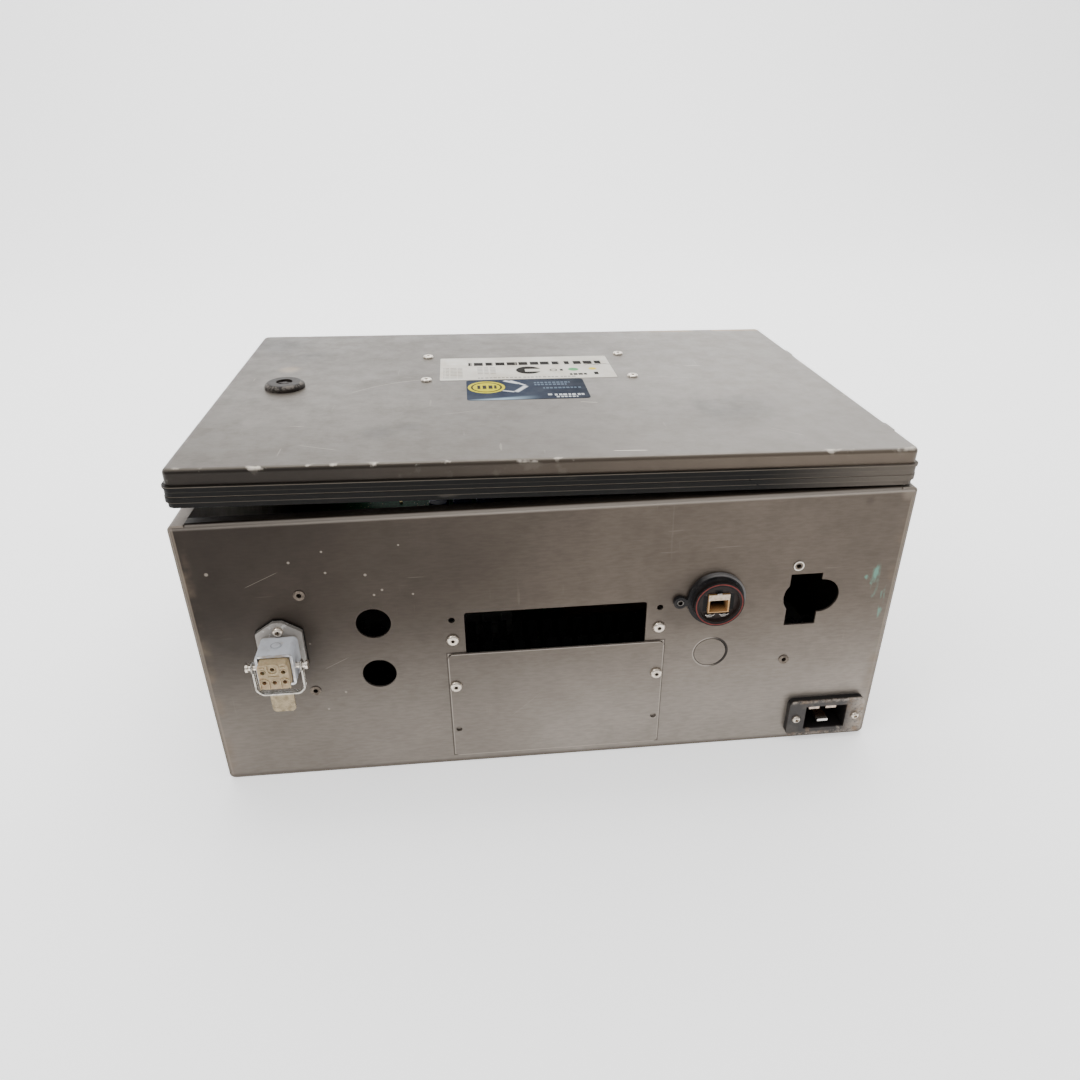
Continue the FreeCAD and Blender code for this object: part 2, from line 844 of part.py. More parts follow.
def build_door_furniture():
    """Rivets, the two stickers and the lock."""
    rivets = []
    for side in ("-", ""):
        for along in ("rivet_near", "rivet_far"):
            column = f"{side}rivet_span_wide / 2"
            dome = rod(("0", "0", "0"), "rivet_head", "rivet_head_height")
            head = rim_rounded(dome, RIVET_ROUNDING, value("rivet_head_height"))
            tail = rod(("0", "0", "-sheet_gauge - rivet_tail_height"), "rivet_tail", "rivet_tail_height")
            shank = rod(("0", "0", "-sheet_gauge"), "rivet_hole_radius", "sheet_gauge")
            mandrel = rod(("0", "0", "0"), "rivet_mandrel", "rivet_head_height + 0.6")
            rivets.append(stand(fuse(head, tail, shank, mandrel), (column, along, "door_top")))
    hang_on_door("door_rivets", group(*rivets))
    for label, name, corner in (("type_label", "label", 1.5), ("service_sticker", "card", 3)):
        sheet = box(
            (f"{name}_left", f"{name}_near", "door_top"),
            (f"{name}_width", f"{name}_depth", "sticker_thickness"),
        )
        hang_on_door(label, rounded(sheet, corner))


def build_lock():
    """Quarter-turn lock: domed housing, hexagon nut, barrel with a double bit, and cam."""
    foot = ("lock_column", "0", "door_top")
    disc = rim_rounded(rod(("0", "0", "0"), "lock_flange", "lock_dome"), LOCK_ROUNDING, value("lock_dome"))
    neck = rod(("0", "0", "-lock_body_length"), "lock_thread", "lock_body_length")
    bore = rod(("0", "0", "-lock_body_length - 1"), "lock_bore", "lock_body_length + lock_dome + 2")
    hang_on_door("lock_housing", stand(cut(fuse(disc, neck), bore), foot))
    nut_foot = ("lock_column", "0", "door_top - sheet_gauge - lock_nut_thickness")
    nut = cut(
        hexagon(nut_foot, "lock_flats", "lock_nut_thickness"),
        rod(nut_foot, "lock_thread", "lock_nut_thickness"),
    )
    hang_on_door("lock_nut", nut)
    barrel_foot = ("lock_column", "0", "cam_top")
    barrel = rod(barrel_foot, "lock_barrel", "door_top - cam_top - 1")
    bit_post = rod(("lock_column", "0", "door_top - 2"), "bit_post", "lock_dome + 1.2")
    bit = box(
        ("lock_column - bit_span / 2", "-bit_gauge / 2", "door_top - 2"),
        ("bit_span", "bit_gauge", "lock_dome + 1.2"),
    )
    square = (
        ("lock_column - cam_square / 2", "-cam_square / 2", "cam_top - cam_thickness"),
        ("cam_square", "cam_square", "cam_thickness"),
    )
    hang_on_door("lock_barrel", fuse(barrel, bit_post, bit, box(*square)))
    strip = box(
        ("lock_column - cam_width / 2", "-cam_heel", "cam_top - cam_thickness"),
        ("cam_width", "cam_reach + cam_heel", "cam_thickness"),
    )
    hang_on_door("lock_cam", cut(rounded(strip, 4), box(*square)))
    head = hexagon(("lock_column", "0", "cam_top - cam_thickness - 3"), "10", "3")
    hang_on_door("lock_cam_screw", head)


# ---- hinges ----------------------------------------------------------------------------------------


def hinge_rod(start, radius, length):
    """A cylinder on the hinge line that starts at a distance along it."""
    return rod(("hinge_column", start, "hinge_height"), radius, length, "y")


def build_hinges():
    """Two barrel hinges on the right wall: body leaf, door leaf and pin each."""
    wall_leaves = []
    door_leaves = []
    pins = []
    for side in ("-", ""):
        middle = f"{side}hinge_spacing / 2"
        start = f"{middle} - hinge_length / 2"
        clear = "knuckle_length / 2 + knuckle_gap"
        outer_length = f"hinge_length / 2 - ({clear})"
        barrels = [
            hinge_rod(start, "hinge_barrel", outer_length),
            hinge_rod(f"{middle} + {clear}", "hinge_barrel", outer_length),
        ]
        wall_plate = box(
            ("case_width / 2", start, "leaf_bottom"),
            ("leaf_gauge", "hinge_length", "hinge_height - hinge_barrel - 0.8 - leaf_bottom"),
        )
        ears = [
            box(
                ("case_width / 2", begin, "hinge_height - hinge_barrel - 2"),
                ("leaf_gauge", outer_length, "hinge_barrel + 2"),
            )
            for begin in (start, f"{middle} + {clear}")
        ]
        tight = hinge_rod(start, "hinge_pin", "hinge_length")
        wall_leaves.append(cut(fuse(*barrels, wall_plate, *ears), tight))
        knuckle_start = f"{middle} - knuckle_length / 2"
        knuckle = hinge_rod(knuckle_start, "hinge_barrel", "knuckle_length")
        riser = box(
            ("hinge_column + hinge_barrel - leaf_gauge", knuckle_start, "hinge_height"),
            ("leaf_gauge", "knuckle_length", "seal_top + 3 - hinge_height"),
        )
        bridge = box(
            ("door_width / 2", knuckle_start, "seal_top + 1"),
            ("hinge_column + hinge_barrel - door_width / 2", "knuckle_length", "leaf_gauge"),
        )
        door_plate = box(
            ("door_width / 2", start, "seal_top + 1"),
            ("leaf_gauge", "hinge_length", "door_top - door_bend - seal_top - 1"),
        )
        running = hinge_rod(knuckle_start, "hinge_pin + pin_clearance", "knuckle_length")
        door_leaves.append(cut(fuse(knuckle, riser, bridge, door_plate), running))
        pins.append(hinge_rod(f"{start} - 1", "hinge_pin", "hinge_length + 2"))
    node("hinge_wall_leaves", group(*wall_leaves))
    hang_on_door("hinge_door_leaves", group(*door_leaves))
    node("hinge_pins", group(*pins))


# ---- heavy-duty connector --------------------------------------------------------------------------


def kite(name, inside, thickness, grow="0"):
    """Base outline of the connector: straight sides that slope in to a narrow top and bottom."""
    body = new_body(name)
    half = f"(plug_plate_width / 2 + {grow})"
    apex = f"(plug_plate_apex + {grow})"
    quarter = [(half, "plug_plate_shoulder"), ("plug_plate_tip", apex)]
    corners = (
        quarter
        + [(f"-{x}", z) for x, z in reversed(quarter)]
        + [(f"-{x}", f"-{z}") for x, z in quarter]
        + [(x, f"-{z}") for x, z in reversed(quarter)]
    )
    sketch = sketch_on(body, "XZ_Plane", f"case_depth / 2 + {inside}")
    polygon(sketch, [(f"plug_column + {x}", f"plug_height + {z}") for x, z in corners])
    pad(body, sketch, thickness)
    fillet(body, "plug_plate_tip - 1", Y_AXIS, lambda m: True)
    return body


def build_connector():
    """Gasket, die-cast base housing, insert, contacts, screws and pegs."""
    back = "-case_depth / 2 - plug_gasket"
    bore_low = ("plug_column - plug_bore / 2", "plug_height - plug_bore / 2")
    screw_heights = [f"plug_height + {side}plug_screw_pitch / 2" for side in ("-", "")]
    through = [
        rod(("plug_column", "-case_depth / 2 - 10", height), "screw_hole_radius", "12", "y")
        for height in screw_heights
    ]
    window = box((bore_low[0], "-case_depth / 2 - plug_reach - 5", bore_low[1]),
                 ("plug_bore", "plug_reach + 10", "plug_bore"))
    node("plug_gasket", cut(kite("gasket_body", "0", "plug_gasket", "0.6"), *through, window))
    shell_low = "plug_height - plug_housing / 2"
    shell = rounded(
        box(
            ("plug_column - plug_housing / 2", "-case_depth / 2 - plug_reach", shell_low),
            ("plug_housing", "plug_reach - plug_gasket - plug_plate / 2", "plug_housing"),
        ),
        3,
        Y_AXIS,
    )
    dimple_foot = ("plug_column", "-case_depth / 2 - plug_reach / 2 - 2", f"{shell_low} + plug_housing - 0.5")
    dimple = rod(dimple_foot, "3.6", "1")
    base = cut(fuse(kite("base_body", "plug_gasket", "plug_plate"), shell, dimple), *through, window)
    node("plug_base", base)
    holes = list(contact_places())
    face = "-case_depth / 2 - plug_reach + insert_face"
    block = rounded(
        box(("plug_column - insert_width / 2", face, "plug_height - insert_width / 2"),
            ("insert_width", "insert_depth", "insert_width")),
        2.6,
        Y_AXIS,
    )
    collar = box(
        ("plug_column - plug_bore / 2", "-case_depth / 2 - plug_reach / 2", "plug_height - plug_bore / 2"),
        ("plug_bore", "insert_collar", "plug_bore"),
    )
    sockets = [rod((x, face, z), "contact_radius", "insert_depth - 4", "y") for x, z in holes]
    node("plug_insert", cut(fuse(block, collar), *sockets))
    contacts = []
    for x, z in holes:
        sleeve = rod((x, f"{face} + 3", z), "contact_radius", "insert_depth - 7", "y")
        contacts.append(cut(sleeve, rod((x, f"{face} + 2", z), "contact_bore", "12", "y")))
    node("plug_contacts", group(*contacts))
    screws = [
        button_screw(("plug_column", f"{back} - plug_plate", height), "-y", "3.4", "plug_plate + 6")
        for height in screw_heights
    ]
    node("plug_screws", group(*screws))
    pegs = []
    for flank, cap in (
        ("plug_column + plug_housing / 2", "plug_column + peg_reach - peg_cap"),
        ("plug_column - peg_reach", "plug_column - peg_reach"),
    ):
        shaft = rod((flank, LEVER_ROW, "plug_height"), "peg_radius", "peg_reach - plug_housing / 2", "x")
        pegs.append(fuse(shaft, rod((cap, LEVER_ROW, "plug_height"), "peg_head", "peg_cap", "x")))
    node("plug_pegs", group(*pegs))


def contact_places():
    """Centres of the insert's six contacts: one above, two beside it, three in a row below."""
    yield "plug_column", "plug_height + contact_top"
    yield "plug_column - contact_pitch", "plug_height + contact_side"
    yield "plug_column + contact_pitch", "plug_height + contact_side"
    for across in ("- contact_pitch", "", "+ contact_pitch"):
        yield f"plug_column {across}", "plug_height - contact_low"


def build_locking_lever():
    """Stainless bail on the two pegs, hanging down: side arms, crossbar and thumb tab."""
    low = "plug_height - lever_radius - 1"
    arms = []
    for column in ("plug_column + lever_inside", "plug_column - lever_inside - lever_gauge"):
        eye = rod((column, LEVER_ROW, "plug_height"), "lever_strap", "lever_gauge", "x")
        strap = box(
            (column, f"{LEVER_ROW} - lever_strap / 2", low),
            ("lever_gauge", "lever_strap", "lever_radius + 1"),
        )
        running = rod((column, LEVER_ROW, "plug_height"), "peg_radius + pin_clearance", "lever_gauge", "x")
        arms.append(cut(fuse(eye, strap), running))
    crossbar = box(
        ("plug_column - lever_inside - lever_gauge", f"{LEVER_ROW} - lever_strap / 2", low),
        ("2 * (lever_inside + lever_gauge)", "lever_strap", "lever_gauge + 0.4"),
    )
    tab_low = "plug_height - lever_tab_end"
    tab = box(
        ("plug_column - lever_tab_width / 2", f"{LEVER_ROW} - lever_strap / 2", tab_low),
        ("lever_tab_width", "lever_gauge", "lever_tab_end - lever_radius"),
    )
    node("locking_lever", fuse(*arms, crossbar, tab))


# ---- network port and mains inlet ------------------------------------------------------------------


def port_rod(forward, radius, length):
    """A cylinder about the port's axis that starts a distance in front of the panel."""
    return rod(("port_column", f"-case_depth / 2 - ({forward})", "port_height"), radius, length, "y")


def build_network_port():
    """Round sealed housing with a strap eyelet, its red ring, jack and nut."""
    flange = port_rod("port_flange_thickness", "port_flange", "port_flange_thickness")
    nose = port_rod("port_reach", "port_face", "port_reach")
    neck = port_rod("0", "port_thread", "port_thread_length")
    eyelet_column = "port_column - port_flange - 5"
    flange_front = "-case_depth / 2 - port_flange_thickness"
    strap = box((eyelet_column, flange_front, "port_height - 3.5"), ("8", "port_flange_thickness", "5"))
    eyelet = rod((eyelet_column, flange_front, "port_height - 1"), "4.4", "port_flange_thickness", "y")
    strap_hole = rod((eyelet_column, f"{flange_front} - 1", "port_height - 1"), "2", "5", "y")
    recess = port_rod("port_reach + 1", "port_recess", "port_recess_depth + 1")
    jack_left = "port_column - jack_width / 2"
    jack_floor = "port_height - jack_height / 2"
    seat = box(
        (jack_left, "-case_depth / 2 - port_reach", jack_floor),
        ("jack_width", "port_reach + port_thread_length + 1", "jack_height"),
    )
    groove = cut(
        port_rod("port_reach + 1", "port_ring + port_ring_section", "1 + port_ring_section"),
        port_rod("port_reach + 1", "port_ring - port_ring_section", "1 + port_ring_section"),
    )
    node("network_housing", cut(fuse(flange, nose, neck, strap, eyelet), strap_hole, recess, seat, groove))
    ring = cut(
        port_rod("port_reach + 0.3", "port_ring + port_ring_section", "0.3 + port_ring_section"),
        port_rod("port_reach + 1", "port_ring - port_ring_section", "3"),
    )
    node("network_ring", ring)
    jack_front = "-case_depth / 2 - port_reach + jack_inset"
    shell = box((jack_left, jack_front, jack_floor), ("jack_width", "jack_depth", "jack_height"))
    mouth = box(
        ("port_column - jack_mouth_width / 2", f"{jack_front} - 1", f"{jack_floor} + jack_mouth_sill"),
        ("jack_mouth_width", "jack_depth - 3", "jack_mouth_height"),
    )
    node("network_jack", cut(shell, mouth))
    nut_foot = ("port_column", "-case_depth / 2 + sheet_gauge", "port_height")
    nut = cut(hexagon(nut_foot, "port_nut_flats", "5", "y"), rod(nut_foot, "port_thread", "5", "y"))
    node("network_nut", nut)


def build_mains_inlet():
    """Flanged inlet with three flat blades deep in its mouth, and two screws."""
    front = "-case_depth / 2 - inlet_thickness"
    flange = rounded(
        box(
            ("inlet_column - inlet_width / 2", front, "inlet_height - inlet_tall / 2"),
            ("inlet_width", "inlet_thickness", "inlet_tall"),
        ),
        4.5,
        Y_AXIS,
    )
    block = box(
        ("inlet_column - inlet_body_width / 2", FRONT, "inlet_height - inlet_body_tall / 2"),
        ("inlet_body_width", "inlet_body_depth", "inlet_body_tall"),
    )
    mouth = box(
        ("inlet_column - inlet_mouth_width / 2", f"{front} - 1", "inlet_height - inlet_mouth_tall / 2"),
        ("inlet_mouth_width", "inlet_mouth_depth + 1", "inlet_mouth_tall"),
    )
    columns = [f"inlet_column + {side}inlet_screw_span / 2" for side in ("-", "")]
    holes = [
        rod((column, f"{front} - 1", "inlet_height"), "screw_radius", "inlet_thickness + 3", "y")
        for column in columns
    ]
    tip = f"{front} + inlet_mouth_depth - blade_length"
    places = (
        ("- blade_pitch / 2", tip, "+ blade_rise"),
        ("+ blade_pitch / 2", tip, "+ blade_rise"),
        ("", f"{tip} - earth_blade_lead", "- blade_drop"),
    )
    slots = [blade(*place) for place in places]
    node("inlet_body", cut(fuse(flange, block), mouth, *holes, *slots))
    node("inlet_blades", group(*[blade(*place) for place in places]))
    screws = [
        button_screw((column, front, "inlet_height"), "-y", "3", "inlet_thickness + 6")
        for column in columns
    ]
    node("inlet_screws", group(*screws))


def blade(column, tip, height):
    """One flat blade, from its tip in the mouth to its tag behind the inlet."""
    return box(
        (f"inlet_column {column} - blade_width / 2", tip, f"inlet_height {height} - blade_thickness / 2"),
        ("blade_width", "blade_length + 16", "blade_thickness"),
    )


# ---- inside the cabinet ----------------------------------------------------------------------------


def six_places(across="stud_span_wide", along="stud_span_deep"):
    """Three columns by two rows about the middle of the mounting plate."""
    middle = "(tray_front + tray_back) / 2"
    for column in (f"-{across} / 2", "-12", f"{across} / 2"):
        for side in ("-", "+"):
            yield column, f"{middle} {side} {along} / 2"


def build_mounting_plate():
    """Plate on six studs with nuts, and the earth stud beside it."""
    plate = box(("-tray_width / 2", "tray_front", "tray_floor"),
                ("tray_width", "tray_back - tray_front", "tray_gauge"))
    holes = [rod((x, y, "tray_floor - 1"), "stud_radius", "tray_gauge + 2") for x, y in six_places()]
    node("mounting_plate", cut(rounded(plate, 6), *holes))
    studs = []
    nuts = []
    for x, y in six_places():
        collar = rod((x, y, "sheet_gauge"), "2 * stud_radius", "tray_floor - sheet_gauge")
        studs.append(fuse(collar, rod((x, y, "tray_floor"), "stud_radius", "9")))
        foot = (x, y, "tray_floor + tray_gauge")
        nuts.append(cut(hexagon(foot, "10", "5"), rod(foot, "stud_radius", "5")))
    node("plate_studs", group(*studs))
    node("plate_nuts", group(*nuts))
    stud = rod(("earth_column", "earth_row", "sheet_gauge"), "earth_radius", "earth_length")
    collar = hexagon(("earth_column", "earth_row", "sheet_gauge"), "10", "5")
    washer = rod(("earth_column", "earth_row", "sheet_gauge + 5"), "6", "1.2")
    node("earth_stud", fuse(stud, collar, washer))


def supply(label, left, front, width, length, height):
    """Power supply: perforated case with a step at the front for its terminal strip."""
    floor = "tray_floor + tray_gauge"
    case = box((left, front, floor), (width, length, height))
    step = box((left, f"{front} - 1", f"{floor} + {height} / 2"), (width, "15", height))
    ribs = [
        box((f"{left} + ({width}) * {share}", f"{front} - 0.5", f"{floor} + {height} / 2 - 0.5"),
            ("1.2", "14", f"{height} / 4"))
        for share in (0.1, 0.26, 0.42, 0.58, 0.74, 0.9)
    ]
    node(label, fuse(cut(case, step), *ribs))


def build_supplies():
    """Two robot supplies side by side, and the low-voltage supply."""
    robot = ("supply_front", "supply_width", "supply_length", "supply_height")
    supply("robot_supply_left", "supply_left", *robot)
    supply("robot_supply_right", "supply_left + supply_width + supply_gap", *robot)
    supply("low_voltage_supply", "small_supply_left", "small_supply_front", "small_supply_width",
           "small_supply_length", "small_supply_height")


def build_power_parts():
    """Finned brake resistor, line filter can with tabs, and slotted wire duct."""
    floor = "tray_floor + tray_gauge"
    resistor = new_body("resistor_body")
    outline = sketch_on(resistor, "XY_Plane", floor)
    rectangle(
        outline, ("brake_left", "brake_front"), ("brake_left + brake_width", "brake_front + brake_length")
    )
    pad(resistor, outline, "brake_height")
    groove = sketch_on(resistor, "XY_Plane", f"{floor} + brake_height")
    rectangle(
        groove,
        ("brake_left + 3", "brake_front - 1"),
        ("brake_left + 7", "brake_front + brake_length + 1"),
    )
    first = pocket(resistor, groove, "fin_depth")
    fins = resistor.newObject("PartDesign::LinearPattern", "fins")
    fins.Originals = [first]
    fins.Direction = (groove, ["H_Axis"])
    fins.setExpression("Length", bound("brake_width - 10"))
    fins.Occurrences = 5
    resistor.Tip = fins
    node("brake_resistor", resistor)
    block = box(("filter_left", "filter_front", floor), ("filter_width", "filter_length", "filter_height"))
    can = rounded(block, 4)
    feet = box(
        ("filter_left - 8", "filter_front + 8", floor), ("filter_width + 16", "filter_length - 16", "1.2")
    )
    tags = [
        box((f"filter_left + {across}", f"filter_front {side}", f"{floor} + 24"), ("6.3", "8", "0.8"))
        for across in (12, 30, 48)
        for side in ("- 8", "+ filter_length")
    ]
    node("line_filter", fuse(can, feet, *tags))
    duct = new_body("duct_body")
    trough = sketch_on(duct, "YZ_Plane", "duct_left")
    wall = "duct_gauge"
    polygon(
        trough,
        [
            ("duct_front", floor),
            ("duct_front + duct_width", floor),
            ("duct_front + duct_width", f"{floor} + duct_height"),
            (f"duct_front + duct_width - {wall}", f"{floor} + duct_height"),
            (f"duct_front + duct_width - {wall}", f"{floor} + {wall}"),
            (f"duct_front + {wall}", f"{floor} + {wall}"),
            (f"duct_front + {wall}", f"{floor} + duct_height"),
            ("duct_front", f"{floor} + duct_height"),
        ],
    )
    pad(duct, trough, "duct_length")
    slot = sketch_on(duct, "XZ_Plane", "-duct_front + 1")
    rectangle(
        slot,
        ("duct_left + duct_slot", f"{floor} + 14"),
        ("duct_left + 2 * duct_slot", f"{floor} + duct_height + 1"),
    )
    cut_slot = pocket(duct, slot, "duct_width + 2")
    slots = duct.newObject("PartDesign::LinearPattern", "slots")
    slots.Originals = [cut_slot]
    slots.Direction = (slot, ["H_Axis"])
    slots.setExpression("Length", bound("duct_length - 3 * duct_slot"))
    slots.Occurrences = 26
    duct.Tip = slots
    node("wire_duct", duct)


def computer_fixings():
    """Fixing points near the four corners of the computer board."""
    for across in ("+ 6", "+ computer_side - 6"):
        for along in ("+ 6", "+ computer_side - 6"):
            yield f"computer_left {across}", f"computer_front {along}"


def control_fixings():
    """Fixing points of the control board, in line with the gap between the supplies."""
    column = "supply_left + supply_width + supply_gap / 2"
    for along in ("+ 20", "+ control_length - 16"):
        yield column, f"control_front {along}"


def build_board_posts():
    """Short posts under the computer board and tall ones under the control board."""
    floor = "tray_floor + tray_gauge"
    posts = []
    for places, radius, height in (
        (computer_fixings(), "post_radius", "computer_lift"),
        (control_fixings(), "supply_gap / 2", f"control_floor - ({floor})"),
    ):
        for x, y in places:
            column = rod((x, y, floor), radius, height)
            pin = rod((x, y, f"{floor} + {height}"), "post_pin", "board_gauge + 2")
            posts.append(fuse(column, pin))
    node("board_posts", group(*posts))


def build_computer():
    """Computer board with port block, memory module, finned heat sink and fan."""
    floor = "tray_floor + tray_gauge"
    base = f"{floor} + computer_lift"
    top = f"{base} + board_gauge"
    board = box(("computer_left", "computer_front", base), ("computer_side", "computer_side", "board_gauge"))
    holes = [rod((x, y, f"{base} - 1"), "post_pin", "4") for x, y in computer_fixings()]
    node("computer_board", cut(board, *holes))
    ports = box(("computer_left + 30", "computer_front - 3", top), ("110", "22", "30"))
    windows = [
        box((f"computer_left + {34 + 27 * place}", "computer_front - 4", f"{top} + 4"), ("21", "12", "20"))
        for place in range(4)
    ]
    node("port_block", cut(ports, *windows))
    node("memory_module", box(("computer_left + 14", "computer_front + 40", top), ("4", "120", "30")))
    sink_left = "computer_left + 50"
    sink_front = "computer_front + 50"
    sink = new_body("sink_body")
    plate = sketch_on(sink, "XY_Plane", top)
    rectangle(plate, (sink_left, sink_front), (f"{sink_left} + sink_side", f"{sink_front} + sink_side"))
    pad(sink, plate, "sink_base")
    fin = sketch_on(sink, "XY_Plane", f"{top} + sink_base")
    rectangle(fin, (sink_left, sink_front), (f"{sink_left} + 2", f"{sink_front} + sink_side"))
    first = pad(sink, fin, "sink_height - sink_base")
    fins = sink.newObject("PartDesign::LinearPattern", "fins")
    fins.Originals = [first]
    fins.Direction = (fin, ["H_Axis"])
    fins.setExpression("Length", bound("sink_side - 2"))
    fins.Occurrences = int(value("sink_fins"))
    sink.Tip = fins
    node("processor_heat_sink", sink)
    centre = (f"{sink_left} + sink_side / 2", f"{sink_front} + sink_side / 2", f"{top} + sink_height")
    fan("processor", centre, "z", "cooler_side", "cooler_depth")


def fan(prefix, foot, axis, side, depth):
    """Square frame with a ring, motor cup on four struts, and a seven-blade rotor on its shaft."""
    half = f"{side} / 2"
    frame = rounded(box((f"-{half}", f"-{half}", "0"), (side, side, depth)), 4)
    duct = rod(("0", "0", "-1"), f"{half} - 2", f"{depth} + 2")
    cup = rod(("0", "0", "0"), f"{side} / 5", "3")
    struts = [
        box((f"-{half} + 1", "-1.5", "0"), (f"{side} - 2", "3", "2.4")),
        box(("-1.5", f"-{half} + 1", "0"), ("3", f"{side} - 2", "2.4")),
    ]
    corner = f"{half} - 4.5"
    screw_holes = [
        rod((f"{a}({corner})", f"{b}({corner})", "-1"), "2.15", f"{depth} + 2")
        for a in ("-", "") for b in ("-", "")
    ]
    shaft_hole = rod(("0", "0", "-1"), "1.5 + pin_clearance", "6")
    housing = cut(fuse(cut(frame, duct), cup, *struts), shaft_hole, *screw_holes)
    node(f"{prefix}_fan_frame", stand(housing, foot, axis))
    hub = rim_rounded(rod(("0", "0", "3.5"), f"{side} / 5", f"{depth} - 4.5"), 1, value(depth) - 1)
    shaft = rod(("0", "0", "0.4"), "1.5", "6")
    blades = []
    for place in range(FAN_BLADES):
        vane = sized_block((f"{side} / 2 - 2 - {side} / 5", "0.9", f"{depth} - 6"))
        turn = Rotation(Vector(0, 0, 1), 360 * place / FAN_BLADES)
        root = turn.multVec(Vector(value(side) / 5 - 2, 0, 4.2))
        vane.Placement = Placement(root, turn.multiply(Rotation(Vector(1, 0, 0), FAN_LEAN)))
        blades.append(vane)
    node(f"{prefix}_fan_rotor", stand(fuse(hub, shaft, *blades), foot, axis))


def build_control_board():
    """Safety control board above the supplies, with its terminals, relays and capacitors."""
    top = "control_floor + board_gauge"
    board = box(
        ("control_left", "control_front", "control_floor"), ("control_width", "control_length", "board_gauge")
    )
    holes = [rod((x, y, "control_floor - 1"), "post_pin", "4") for x, y in control_fixings()]
    node("control_board", cut(board, *holes))
    terminals = []
    heads_low = f"{top} + terminal_height - 3"
    for place in range(6):
        left = f"control_left + {6 + 31 * place}"
        block = box(
            (left, "control_front + 2", top), ("terminal_length", "terminal_depth", "terminal_height")
        )
        entries = [
            box((f"{left} + {1.4 + 4.4 * way}", "control_front + 1", f"{top} + 2"), ("3", "7", "4"))
            for way in range(6)
        ]
        heads = [
            rod((f"{left} + {2.9 + 4.4 * way}", "control_front + 9", heads_low), "1.5", "4")
            for way in range(6)
        ]
        terminals.append(cut(block, *entries, *heads))
    node("terminal_blocks", group(*terminals))
    relays = [
        box((f"control_left + {12 + 18 * place}", "control_front + 60", top), ("13", "29", "15.5"))
        for place in range(6)
    ]
    node("safety_relays", group(*relays))
    capacitors = [
        rim_rounded(rod((f"control_left + {140 + 22 * place}", f"control_front + {row}", top), "9", "26"), 1,
                    value("control_floor") + value("board_gauge") + 26)
        for place in range(3)
        for row in (120, 150)
    ]
    node("capacitors", group(*capacitors))


def build_case_fan():
    """Fan behind the right vents of the rear panel, blowing out."""
    fan("case", ("vent_column", "case_depth / 2 - sheet_gauge - fan_depth", "fan_height"), "y", "fan_side",
        "fan_depth")


# ---- leads -----------------------------------------------------------------------------------------


def lead_shape(name, diameter, points):
    """The solid of a cable along straight runs joined by arcs as large as their two runs allow."""
    corners = [Vector(*point) for point in points]
    edges = []
    radii = []
    start = corners[0]
    for before, corner, after in zip(corners, corners[1:], corners[2:]):
        arrive = (corner - before).normalize()
        leave = (after - corner).normalize()
        half_turn = arrive.getAngle(leave) / 2
        trim = ARC_SHARE * min((corner - before).Length, (after - corner).Length)
        radius = trim / math.tan(half_turn)
        radii.append(round(radius, 1))
        inward = (leave - arrive).normalize()
        centre = corner + inward * (radius / math.cos(half_turn))
        first = corner - arrive * trim
        last = corner + leave * trim
        edges.append(Part.LineSegment(start, first).toShape())
        edges.append(Part.Arc(first, centre - inward * radius, last).toShape())
        start = last
    edges.append(Part.LineSegment(start, corners[-1]).toShape())
    path = Part.Wire(edges)
    section = Part.Wire([Part.makeCircle(diameter / 2, corners[0], corners[1] - corners[0])])
    cable = path.makePipeShell([section], True, False)
    straight = math.pi * diameter**2 / 4 * path.Length
    print(f"{name}: length {path.Length:.1f}, radii {radii}, volume over section x length "
          f"{cable.Volume / straight:.4f}")
    return cable


def lead(label, shapes):
    """Register one or more cables as a sub-part."""
    feature = doc.addObject("Part::Feature", label)
    feature.Shape = shapes[0] if len(shapes) == 1 else Part.makeCompound(shapes)
    return node(label, feature)


